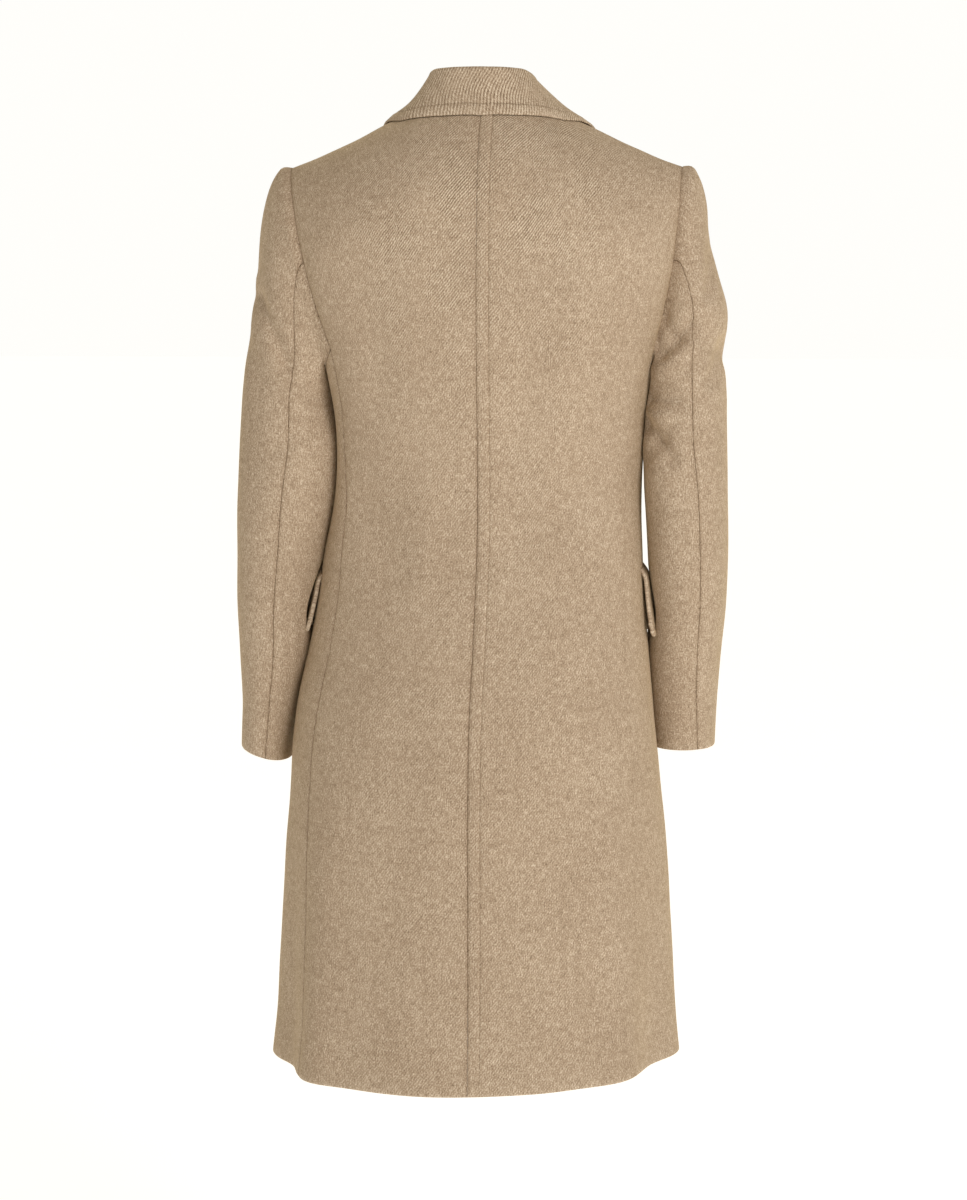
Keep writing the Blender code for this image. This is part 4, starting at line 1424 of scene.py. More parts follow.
def dress(
    name: str, cloth: Cloth, finishes: Finishes, held: str = "hung", hem: bool = False,
) -> bpy.types.Object:
    """Make a piece of cloth that stands for the node of its name.

    Args:
        name: Name of the node.
        cloth: Its cloth.
        finishes: Finishes of the coat.
        held: How the cloth is held.
        hem: Whether one end has a turned-up hem.

    Returns:
        The piece.
    """
    thing = cloth.make(f"{name}_cloth", finishes.wool)
    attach(thing, "root")
    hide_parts(name)
    CUTTING.declare(thing, cloth, held, hem)
    return thing


@dataclass
class BodyPanels:
    """Backs, side panels and fronts of the coat."""

    finishes: Finishes
    sewing: Sewing
    skirt_share: float = 0.72
    roll_share: float = 10.0 / 13.0
    centre_stitch: float = 12.6
    centre_fade: tuple[float, float] = (-990.0, -930.0)
    centre_end: float = -985.0
    edge_end: float = 4.0
    faint_centre: tuple[float, float, float] = (-430.0, -220.0, 0.5)
    faint_seam: tuple[float, float, float] = (-300.0, -250.0, 0.25)

    @property
    def inset(self) -> float:
        """Angle of half a seam gap."""
        return FORM.seam_gap / 2 / FORM.body_radius

    def halves(self, t: Array) -> tuple[Array, Array]:
        """Shares of the skirt and of the yoke at shares of the whole panel."""
        skirt = np.minimum(t / self.skirt_share, 1.0)
        return skirt, np.maximum(t - self.skirt_share, 0.0) / (1.0 - self.skirt_share)

    def back_form(self, side: Side) -> Surface:
        """Back panel from the centre back seam to the side seam and the armhole.

        Args:
            side: Side of the panel.

        Returns:
            Points by the shares across and up.
        """
        sign, inset = side.value, side.value * self.inset
        corner_angle, corner_level = BACK_CORNERS[side]
        edge_start = FORM.reach_at(math.radians(corner_angle), corner_level)
        tip = sign * math.radians(FORM.tip_back)
        gap = FORM.seam_gap / 2

        def form(s: Array, t: Array) -> Array:
            """Points by the shares from the centre to the side and from the hem up.

            Args:
                s: Shares across.
                t: Shares along.

            Returns:
                The points.
            """
            skirt, yoke = self.halves(t)

            def between(level: Array | float, edge: Array | float) -> Array:
                """Angle at the share s between the centre seam and an edge."""
                return lerp(FORM.centre_seam(level) + inset, edge - inset, s)

            low = FORM.hem_level(between(FORM.hem_base, FORM.side_seam(side, FORM.hem_base)))
            level = lerp(low, corner_level, skirt)
            angle = between(level, FORM.side_seam(side, level))
            start = FORM.reach_at(between(corner_level, FORM.side_seam(side, corner_level)), corner_level)
            top = FORM.neck_reach(between(0.0, tip))
            even = lerp(FORM.neck_reach(np.zeros(1)), gap, s)
            edge_level = FORM.level_at(tip, lerp(edge_start, gap, yoke))
            edge = sign * np.radians(ARMHOLE_BACK[side].at(edge_level)[..., 0])
            upper = t > self.skirt_share
            raised = lerp(start, even, yoke) + (top - even) * yoke**3
            reach = np.where(upper, raised, FORM.reach_at(angle, level))
            return FORM.torso(np.where(upper, between(edge_level, edge), angle), reach)

        return form

    def side_form(self, side: Side) -> Surface:
        """Side panel under the arm, from the side seam of the back to the front panel.

        Args:
            side: Side of the panel.

        Returns:
            Points by the shares across and up.
        """
        inset = side.value * self.inset
        corner = side.value * math.radians(FORM.front_corner[0])

        def form(s: Array, t: Array) -> Array:
            """Points by the shares from the back to the front and from the hem up.

            Args:
                s: Shares across.
                t: Shares along.

            Returns:
                The points.
            """

            def angle_at(level: Array | float) -> Array:
                """Angle at the share s and a level."""
                return lerp(FORM.side_seam(side, level) + inset, corner - inset, s)

            high = ARMHOLE_UNDER[side].at(np.abs(np.degrees(angle_at(BACK_CORNERS[side][1]))))[..., 0]
            level = lerp(FORM.hem_level(angle_at(FORM.hem_base)), high, t)
            angle = angle_at(level)
            return FORM.torso(angle, FORM.reach_at(angle, level))

        return form

    def front_form(self, side: Side) -> Surface:
        """Front panel from the side panel and the armhole to the front edge and the roll line.

        Args:
            side: Side of the panel.

        Returns:
            Points by the shares across and up.
        """
        sign, inset = side.value, side.value * self.inset
        corner, corner_level = sign * math.radians(FORM.front_corner[0]), FORM.front_corner[1]
        tip_reach = FORM.seam_gap / 2
        corner_reach = FORM.reach_at(corner, corner_level)
        gorge_angle = FORM.front_edge(side, FORM.gorge_level)
        gorge_reach = FORM.reach_at(gorge_angle, FORM.gorge_level)
        neck = sign * math.radians(180.0 - FORM.neck_angle)
        surface = FORM.front_cloth(side)

        def form(s: Array, t: Array) -> Array:
            """Points by the shares from the side to the front edge and from the hem up.

            Args:
                s: Shares across.
                t: Shares along.

            Returns:
                The points.
            """
            skirt, yoke = self.halves(t)

            def angle_at(level: Array | float) -> Array:
                """Angle at the share s and a level of the skirt."""
                return lerp(corner + inset, FORM.front_edge(side, level), s)

            level = lerp(FORM.hem_level(angle_at(FORM.hem_base)), corner_level, skirt)
            angle = angle_at(level)
            arm_reach = lerp(corner_reach, tip_reach, yoke)
            arm_level = FORM.level_at(sign * math.radians(FORM.tip_front), arm_reach)
            arm_angle = sign * np.radians(ARMHOLE_FRONT.at(arm_level)[..., 0])
            edge_level = lerp(corner_level, FORM.gorge_level, np.minimum(yoke / self.roll_share, 1.0))
            turn = np.maximum(yoke - self.roll_share, 0.0) / (1.0 - self.roll_share)
            rolled = FORM.front_edge(side, edge_level)
            edge_angle = np.where(turn > 0.0, lerp(gorge_angle, neck, turn), rolled)
            edge_reach = np.where(
                turn > 0.0, lerp(gorge_reach, tip_reach, turn), FORM.reach_at(rolled, edge_level)
            )
            upper = t > self.skirt_share
            angle = np.where(upper, lerp(arm_angle, edge_angle, s), angle)
            reach = np.where(upper, lerp(arm_reach, edge_reach, s), FORM.reach_at(angle, level))
            return surface(angle, reach)

        return form

    def build(self) -> None:
        """Make the six panels and the rows of stitches at the centre back and the front edges."""
        hem = replace(FREE, roll=1.8)
        centre = Edge(
            dip=0.35, stitch=self.centre_stitch, groove=0.7, strip=0.75, plain_below=self.centre_fade
        )
        for side in Side:
            seam = SEAM if side is Side.LEFT else replace(SEAM, faint_below=self.faint_seam)
            grain = (-side.value, 1)
            middle = replace(centre if side is Side.RIGHT else SEAM, faint_above=self.faint_centre)
            back = Cloth(self.back_form(side), (middle, seam, hem, SEAM), -side.value, grain, BODY_CREASES)
            dress(f"back_{side.word}", back, self.finishes, hem=True)
            panel = Cloth(self.side_form(side), (seam, SEAM, hem, SEAM), -side.value, grain, BODY_CREASES)
            dress(f"side_{side.word}", panel, self.finishes, hem=True)
            edges = (SEAM, TOPSTITCHED, hem, SEAM)
            front = Cloth(self.front_form(side), edges, -side.value, grain, BODY_CREASES)
            dress(f"front_{side.word}", front, self.finishes, hem=True)
            if side is Side.RIGHT:
                line = back.stitch_line(0)
                self.sewing.rows.follow(line[line[:, 2] > self.centre_end])
                line = front.stitch_line(1)
                self.sewing.rows.follow(line[line[:, 2] < FORM.break_level - self.edge_end])


@dataclass
class Sleeves:
    """Set-in sleeves of two pieces, upper and under."""

    finishes: Finishes
    top_level: float = -300.0
    cuff_left: float = -680.0
    cuff_right: float = -674.0
    cuff_tilt: float = 8.0
    squareness: float = 2.2
    seam_radius: float = 30.0
    armhole_gap: float = 0.35
    underarm_gap: float = 2.4
    cap_out: float = 0.77
    cap_down: float = 2.2
    underarm_rise: float = 1.2
    draw: tuple[float, float] = (6.0, 2.5)
    armhole_steps: tuple[int, int] = (40, 20)
    underarm_turn: tuple[float, float] = (90.0, 130.0)
    sewn_turn: tuple[float, float] = (100.0, 135.0)
    fold_start: tuple[float, float] = (0.05, 0.35)
    grain_counts: tuple[int, int] = (271, 241)

    def armhole(self, side: Side, tip: float, corner: tuple[float, float], up: Table) -> Array:
        """Edge of the body cloth over half of the arm, from the shoulder tip to under the arm.

        Args:
            side: Side of the sleeve.
            tip: Angle of the shoulder tip.
            corner: Angle and level where the armhole turns under the arm.
            up: Angle of the armhole by level above the corner.

        Returns:
            Rows of the share of the length, the point and the normal.
        """
        start = FORM.reach_at(math.radians(corner[0]), corner[1])
        above, under = self.armhole_steps
        level = FORM.level_at(math.radians(tip), lerp(0.0, start, np.arange(above) / above))
        degrees = np.concatenate([up.at(level)[:, 0], lerp(corner[0], 90.0, np.arange(under + 1) / under)])
        level = np.concatenate([level, ARMHOLE_UNDER[side].at(degrees[above:])[:, 0]])
        where = side.value * np.radians(degrees), FORM.reach_at(np.radians(degrees), level)
        points = FORM.torso(*where)
        lengths = arcs(points, 0)
        return np.column_stack([lengths / lengths[-1], points, FORM.normal(FORM.torso, *where)])

    def edge(self, side: Side) -> Callable[[Array], tuple[Array, Array]]:
        """Points and normals of the armhole, by degrees round the sleeve.

        Args:
            side: Side of the sleeve.

        Returns:
            A function of the degrees.
        """
        halves = (
            self.armhole(side, FORM.tip_back, BACK_CORNERS[side], ARMHOLE_BACK[side]),
            self.armhole(side, FORM.tip_front, FORM.front_corner, ARMHOLE_FRONT),
        )

        def read(degrees: Array) -> tuple[Array, Array]:
            """Points and normals at degrees.

            Args:
                degrees: Degrees round the sleeve.

            Returns:
                The points and the normals.
            """
            share = self.from_tip(degrees) / 180.0
            found = [
                np.stack([np.interp(share, h[:, 0], h[:, k]) for k in range(1, 7)], axis=-1) for h in halves
            ]
            both = np.where((degrees % 360.0 <= 180.0)[..., None], *found)
            return both[..., :3], both[..., 3:]

        return read

    def from_tip(self, degrees: Array) -> Array:
        """Degrees from the shoulder tip, round either way."""
        return 180.0 - np.abs(degrees % 360.0 - 180.0)

    def surface(self, side: Side) -> Surface:
        """Outer surface of a sleeve by degrees round it and place along it: 0 armhole, 1 cap end, 2 cuff.

        Args:
            side: Side of the sleeve.

        Returns:
            The surface.
        """
        armhole = self.edge(side)
        cuff, tilt = (self.cuff_left, self.cuff_tilt) if side is Side.LEFT else (self.cuff_right, 0.0)
        sign = side.value

        def ring(degrees: Array, level: Array) -> Array:
            """Section of the sleeve at a level.

            Args:
                degrees: Degrees round the sleeve.
                level: Levels.

            Returns:
                The points.
            """
            outer, inner, middle, half_depth = SLEEVES[side].split(level)
            behind, out = superellipse(np.radians(degrees), self.squareness)
            across = (outer + inner) / 2 + (outer - inner) / 2 * out
            return np.stack([sign * across, middle + half_depth * behind, level + 0.0 * degrees], axis=-1)

        def fold(degrees: Array, level: Array) -> Array:
            """Swell of the main folds.

            Args:
                degrees: Degrees round the sleeve.
                level: Levels.

            Returns:
                The heights.
            """
            total = np.zeros_like(level)
            for middle, angle, spread, width, high, slant in SLEEVE_FOLDS[side]:
                turn = (degrees - angle + 180.0) % 360.0 - 180.0
                off = (level - middle - slant * turn) / width
                total += high * np.exp(-((turn / spread) ** 2) - off * off)
            return total

        def form(degrees: Array, place: Array) -> Array:
            """Points by degrees and place.

            Args:
                degrees: Degrees round the sleeve.
                place: Places along the sleeve.

            Returns:
                The points.
            """
            under = smooth_step(*self.underarm_turn, self.from_tip(degrees))
            gap = lerp(self.armhole_gap, self.underarm_gap, under)
            start = armhole(degrees)[0] + np.stack([sign * gap, 0.0 * gap, 0.0 * gap], axis=-1)
            cap = np.clip(place, 0.0, 1.0)
            shares = np.stack([cap**self.cap_out, cap**self.cap_out, cap**self.cap_down], axis=-1)
            capped = start + (ring(degrees, np.full_like(place, self.top_level)) - start) * shares
            low = cuff + tilt * np.cos(np.radians(degrees))
            hung = ring(degrees, lerp(self.top_level, low, np.maximum(place - 1.0, 0.0)))
            point = np.where((place >= 1.0)[..., None], hung, capped)
            swell = smooth_step(*self.fold_start, place) * fold(degrees, point[..., 2])
            turn = np.radians(degrees)
            out = np.stack([sign * np.cos(turn), np.sin(turn), 0.0 * turn], axis=-1)
            point = point + swell[..., None] * out
            return FORM.clear_of_body(side, point, SLEEVE_GAPS.at(point[..., 2])[..., 0])

        return form

    def degrees_at(self, side: Side, upper: bool, s: Array, t: Array) -> Array:
        """Degrees round the sleeve at shares round a piece, between its two seams, and down it.

        Args:
            side: Side of the sleeve.
            upper: Whether the piece is the upper one.
            s: Shares round the piece.
            t: Shares down it.

        Returns:
            The degrees.
        """
        inset = math.degrees(FORM.seam_gap / 2 / self.seam_radius)
        back, front = SLEEVE_SEAMS[side].split(2.0 * t)
        first, last = (front - 360.0 + inset, back - inset) if upper else (back + inset, front - inset)
        return lerp(first, last, s)

    def piece_form(self, side: Side, upper: bool) -> Surface:
        """Upper or under piece of a sleeve, between the back seam and the front seam.

        Args:
            side: Side of the sleeve.
            upper: Whether the piece is the upper one.

        Returns:
            Points by the shares round the piece and down it.
        """
        surface = self.surface(side)

        def form(s: Array, t: Array) -> Array:
            """Points by the shares round the piece and down it."""
            return surface(self.degrees_at(side, upper, s, t), 2.0 * t)

        return form

    def sewn_to(self, side: Side, upper: bool) -> Callable[[Array], tuple[Array, Array]]:
        """Middle of the body cloth's edge that a piece is sewn to, and how far the piece is drawn to it.

        Args:
            side: Side of the sleeve.
            upper: Whether the piece is the upper one.

        Returns:
            A function of the shares round the piece.
        """
        armhole = self.edge(side)

        def read(s: Array) -> tuple[Array, Array]:
            """Places and lengths by the share round the piece.

            Args:
                s: Shares round the piece.

            Returns:
                Points that it is sewn to, and lengths that it is drawn over.
            """
            degrees = self.degrees_at(side, upper, s, np.zeros_like(s))
            point, normal = armhole(degrees)
            under = smooth_step(*self.sewn_turn, self.from_tip(degrees))
            sunk = FORM.wall / 2 + SEAM.dip - UNEVENNESS.rise(point)
            lift = np.stack([0.0 * under, 0.0 * under, self.underarm_rise * under], axis=-1)
            return point - sunk[:, None] * normal + lift, lerp(*self.draw, under)

        return read

    def grain(self, side: Side, upper: bool) -> Callable[[Array, Array, Array], Array]:
        """Places on the flat cloth, so that its grain runs beside the outermost line of the sleeve.

        Args:
            side: Side of the sleeve.
            upper: Whether the piece is the upper one.

        Returns:
            A function of the shares and points, for lengths to the right and up, seen from outside.
        """
        around_count, down_count = self.grain_counts
        turn = np.linspace(-180.0, 360.0, around_count)
        walls = self.surface(side)(*np.meshgrid(turn, np.linspace(0.0, 2.0, down_count), indexing="ij"))
        outermost = int(np.argmin(np.abs(turn)))

        def read(s: Array, t: Array, points: Array) -> Array:
            """Lengths round the section at each point's level, and up from the cuff.

            Args:
                s: Shares across.
                t: Shares along.
                points: Points at the shares.

            Returns:
                The lengths.
            """
            level = -points[..., 2]
            rings = np.stack([
                np.stack([np.interp(level, -wall[:, 2], wall[:, axis]) for axis in (0, 1)], axis=-1)
                for wall in walls
            ])
            lengths = arcs(rings, 0)
            past = self.degrees_at(side, upper, s, t) - turn[0]
            before = np.floor(past / (turn[1] - turn[0])).astype(int)[None]
            start = np.take_along_axis(rings, before[..., None], axis=0)[0]
            around = np.take_along_axis(lengths, before, axis=0)[0] - lengths[outermost]
            around += np.linalg.norm(points[..., :2] - start, axis=-1)
            down = arcs(points, 1)
            return np.stack([side.value * around, down[:, -1:] - down], axis=-1)

        return read

    def build(self) -> None:
        """Make the four sleeve pieces."""
        head = Edge(dip=0.3, swell=1.3, swell_at=9.0)
        cuff = replace(FREE, roll=1.8)
        for side in Side:
            for word, upper in (("upper", True), ("under", False)):
                top = head if upper else SEAM
                cloth = Cloth(
                    self.piece_form(side, upper), (SEAM, SEAM, top, cuff), -side.value, (side.value, -1),
                    SLEEVE_CREASES, step=3.6, meet=self.sewn_to(side, upper), flat=self.grain(side, upper),
                )
                dress(f"sleeve_{side.word}_{word}", cloth, self.finishes, hem=True)


@dataclass
class Collar:
    """Turned-down collar: one folded sheet of stand and fall round the neck."""

    finishes: Finishes
    sewing: Sewing
    fold_radius: float = 3.0
    inset: float = 0.4
    rise: float = 0.6
    lay_gap: float = 0.2
    lean: float = 4.5
    lean_levels: tuple[float, float] = (-12.0, 33.0)
    hollow: float = 0.5
    steps: tuple[int, int, int] = (8, 14, 40)
    columns: int = 161
    stitch: float = 12.3

    def neck_place(self, sign: Array, place: Array) -> tuple[Array, Array]:
        """Angle and reach of the neck edge, from centre back (0) past the shoulder (0.5) to the gorge (1).

        Args:
            sign: Side of each place, 1 or -1.
            place: Places along the neck edge.

        Returns:
            The angles and the reaches.
        """
        turned = math.radians(FORM.neck_angle) * np.sin(np.minimum(place, 0.5) * math.pi)
        t = np.maximum(place - 0.5, 0.0) * 2.0
        past = np.radians(lerp(FORM.neck_angle, FORM.gorge_angle, t))
        behind = place <= 0.5
        reach = np.where(behind, FORM.neck_reach(turned), -FORM.gorge_reach * t)
        return sign * np.where(behind, turned, past), reach

    def sections(self) -> Array:
        """Middle of the collar cloth, in sections from the neck edge over the fold to the outer edge.

        Returns:
            Grid of points.
        """
        position = np.linspace(-1.0, 1.0, self.columns)
        sign, place = np.where(position >= 0.0, 1.0, -1.0), np.abs(position)
        roll_x, roll_y, roll_level, edge_angle, edge_reach = COLLAR.split(place)
        neck_angle, neck_depth = self.neck_place(sign, place)
        up, flat = np.array([0.0, 0.0, 1.0]), np.array([1.0, 1.0, 0.0])
        base = FORM.torso(neck_angle, neck_depth)
        base = base - unit(base * flat) * (FORM.wall / 2 + self.inset) + up * self.rise
        lean = self.lean * smooth_step(*self.lean_levels, roll_level)
        roll = np.stack([sign * roll_x + lean, roll_y, roll_level], axis=-1)
        outward = unit(roll * flat)
        centre = roll - up * self.fold_radius
        start = centre - outward * self.fold_radius
        stand, fold, fall = self.steps
        rows = [lerp(base, start, k / stand) for k in range(stand)]
        for turn in np.linspace(0.0, math.pi, fold + 1):
            rows.append(centre + self.fold_radius * (math.sin(turn) * up - math.cos(turn) * outward))
        top = rows[-1]
        clear = FORM.wall / 2 + self.lay_gap
        edge_turn = sign * np.radians(edge_angle)
        edge = FORM.torso(edge_turn, edge_reach) + FORM.normal(FORM.torso, edge_turn, edge_reach) * clear
        for t in np.arange(1, fall + 1) / fall:
            foot = lerp(neck_angle, edge_turn, t), lerp(neck_depth, edge_reach, t)
            ground, normal = FORM.torso(*foot), FORM.normal(FORM.torso, *foot)
            point = lerp(lerp(top, edge, t), ground + normal * clear, self.hollow * math.sin(math.pi * t))
            height = np.sum((point - ground) * normal, axis=-1, keepdims=True)
            rows.append(point + np.maximum(clear - height, 0.0) * normal)
        return np.stack(rows, axis=1)

    def form(self) -> Surface:
        """Middle of the collar by the shares from right to left and from the neck to the edge.

        Returns:
            The surface.
        """
        grid = self.sections()
        columns, rows = grid.shape[:2]

        def read(s: Array, t: Array) -> Array:
            """Points between the sections.

            Args:
                s: Shares across.
                t: Shares along.

            Returns:
                The points.
            """
            u, v = s * (columns - 1), t * (rows - 1)
            i = np.minimum(u.astype(int), columns - 2)
            j = np.minimum(v.astype(int), rows - 2)
            u, v = (u - i)[..., None], (v - j)[..., None]
            return lerp(lerp(grid[i, j], grid[i + 1, j], u), lerp(grid[i, j + 1], grid[i + 1, j + 1], u), v)

        return read

    def build(self) -> None:
        """Make the collar and the row of stitches along its outer edge."""
        outer = replace(TOPSTITCHED, stitch=self.stitch, groove=0.6, strip=0.3)
        cloth = Cloth(
            self.form(), (FREE, FREE, SEAM, outer), 1, (-1, -1), step=2.6, centred=True,
            dense=(self.columns, sum(self.steps) + 1),
        )
        dress("collar", cloth, self.finishes, "folded")
        self.sewing.rows.follow(cloth.stitch_line(3))


@dataclass
class Lapels:
    """Lapels turned back on the fronts, notched under the collar."""

    finishes: Finishes
    sewing: Sewing
    tip: tuple[float, float] = (120.0, -86.0)
    notch: tuple[float, float] = (96.0, -34.0)
    notch_share: float = 0.6
    notch_start: tuple[float, float] = (0.6, 1.0)
    belly: float = 9.0
    foot_ease: float = 4.0
    top_share: float = 0.985
    gap: float = 0.9
    stand_off: float = 2.6
    curl_share: float = 0.07
    curl_step: float = 0.02
    feet: dict[Side, tuple[float, float]] = field(
        default_factory=lambda: {Side.RIGHT: (0.0, 0.02), Side.LEFT: (0.3, 0.24)}
    )

    def form(self, side: Side) -> Surface:
        """Middle of the lapel cloth, from under the rolled edge to the free edge.

        Args:
            side: Side of the lapel.

        Returns:
            Points by the shares across and up.
        """
        surface = FORM.front_cloth(side)
        low_roll, low_edge = self.feet[side]
        radius = (self.gap + FORM.wall) / 2
        foot_x = self.foot_ease - FORM.front_extension

        def place(s: Array, t: Array) -> tuple[Array, Array]:
            """Angle and reach on the front by the shares from roll line to edge and from foot to top.

            Args:
                s: Shares across.
                t: Shares along.

            Returns:
                The angles and the reaches.
            """
            level = lerp(FORM.break_level, FORM.gorge_level, lerp(low_roll, self.top_share, t))
            roll = np.stack([FORM.roll_line_x(level), level], axis=-1)
            e = lerp(low_edge, 1.0, t)
            edge_x = lerp(foot_x, self.tip[0], e) + self.belly * np.sin(math.pi * e)
            edge = np.stack([edge_x, lerp(FORM.break_level, self.tip[1], e)], axis=-1)
            notch = np.array(self.notch)
            share = s[..., None]
            inner = lerp(roll, notch, share / self.notch_share)
            outer = lerp(notch, edge, (share - self.notch_share) / (1.0 - self.notch_share))
            corner = np.where(share > self.notch_share, outer, inner)
            point = lerp(lerp(roll, edge, share), corner, smooth_step(*self.notch_start, t)[..., None])
            angle = FORM.front_angle(side, point[..., 0], point[..., 1])
            return angle, FORM.reach_at(angle, point[..., 1])

        def form(s: Array, t: Array) -> Array:
            """Points by the shares from the end of the curl to the free edge and from foot to top.

            Args:
                s: Shares across.
                t: Shares along.

            Returns:
                The points.
            """
            own = np.maximum(s - self.curl_share, 0.0) / (1.0 - self.curl_share)
            where = place(own, t)
            ground, normal = surface(*where), FORM.normal(surface, *where)
            lift = self.gap + FORM.wall / 2 + self.stand_off * t * own**0.5
            laid = ground + lift[..., None] * normal
            away = surface(*place(np.zeros_like(s), t))
            away = away - surface(*place(np.full_like(s, self.curl_step), t))
            away = unit(away - np.sum(away * normal, axis=-1, keepdims=True) * normal)
            turn = math.pi * np.clip(1.0 - s / self.curl_share, 0.0, 1.0)[..., None]
            centre = ground + (self.gap + FORM.wall / 2 - radius) * normal
            curled = centre + radius * (np.cos(turn) * normal + np.sin(turn) * away)
            return np.where((s < self.curl_share)[..., None], curled, laid)

        return form

    def build(self) -> None:
        """Make both lapels and the row of stitches along their edges."""
        curl = Edge(roll=0.8)
        for side in Side:
            cloth = Cloth(
                self.form(side), (curl, TOPSTITCHED, FREE, FREE), side.value, (side.value, 1), step=3.0,
                centred=True, dense=(161, 121),
            )
            dress(f"lapel_{side.word}", cloth, self.finishes, "folded")
            self.sewing.rows.follow(cloth.stitch_line(1))


@dataclass
class PocketFlaps:
    """Pocket flaps of double cloth, sewn along the top and standing off at the foot."""

    finishes: Finishes
    sewing: Sewing
    angles: tuple[float, float] = (80.0, 137.0)
    levels: tuple[float, float] = (-473.0, -549.0)
    end_share: float = 0.24
    wall: float = 4.4
    # Drop of the top edge at the back end, gap from the front, stand-off at the foot
    hang: dict[Side, tuple[float, float, float]] = field(
        default_factory=lambda: {Side.LEFT: (12.0, 0.7, 3.6), Side.RIGHT: (3.0, 2.2, 4.4)}
    )
    length: float = 150.0
    corner: float = 12.0
    corner_depth: float = 0.6
    stand_power: float = 1.4
    tuck: float = 0.3
    top_roll: float = 7.0

    def form(self, side: Side) -> Surface:
        """Outer face of a flap by the shares from back to front and from top to foot.

        Args:
            side: Side of the flap.

        Returns:
            The surface.
        """
        surface = FORM.front_cloth(side)
        first, last = (math.radians(degrees) for degrees in self.angles)
        drop, gap, stand_off = self.hang[side]

        def read(s: Array, t: Array) -> Array:
            """Points of the flap.

            Args:
                s: Shares across.
                t: Shares along.

            Returns:
                The points.
            """
            angle = side.value * lerp(first, last, s)
            cut = np.maximum(self.corner - np.minimum(s, 1.0 - s) * self.length, 0.0)
            short = self.corner - np.sqrt(np.maximum(self.corner**2 - cut**2, 0.0))
            top = self.levels[0] - drop * (1.0 - smooth_step(0.0, self.end_share, s))
            level = lerp(top, self.levels[1] + self.corner_depth * short, t)
            reach = FORM.reach_at(angle, level)
            fold = np.exp(-((t * (self.levels[0] - self.levels[1]) / self.top_roll) ** 2))
            lift = self.wall + gap + stand_off * t**self.stand_power
            lift = lift - (self.wall / 2 + gap - self.tuck) * fold
            return surface(angle, reach) + lift[..., None] * FORM.normal(surface, angle, reach)

        return read

    def build(self) -> None:
        """Make both flaps with a row of stitches along their feet."""
        top = Edge(roll=self.top_roll)
        end = replace(FREE, roll=2.0)
        foot = replace(TOPSTITCHED, roll=2.0, stitch=9.0)
        for side in Side:
            cloth = Cloth(
                self.form(side), (end, end, top, foot), side.value, (-side.value, -1), step=2.6,
                wall=self.wall,
            )
            dress(f"pocket_flap_{side.word}", cloth, self.finishes, "laid")
            self.sewing.rows.follow(cloth.stitch_line(3))


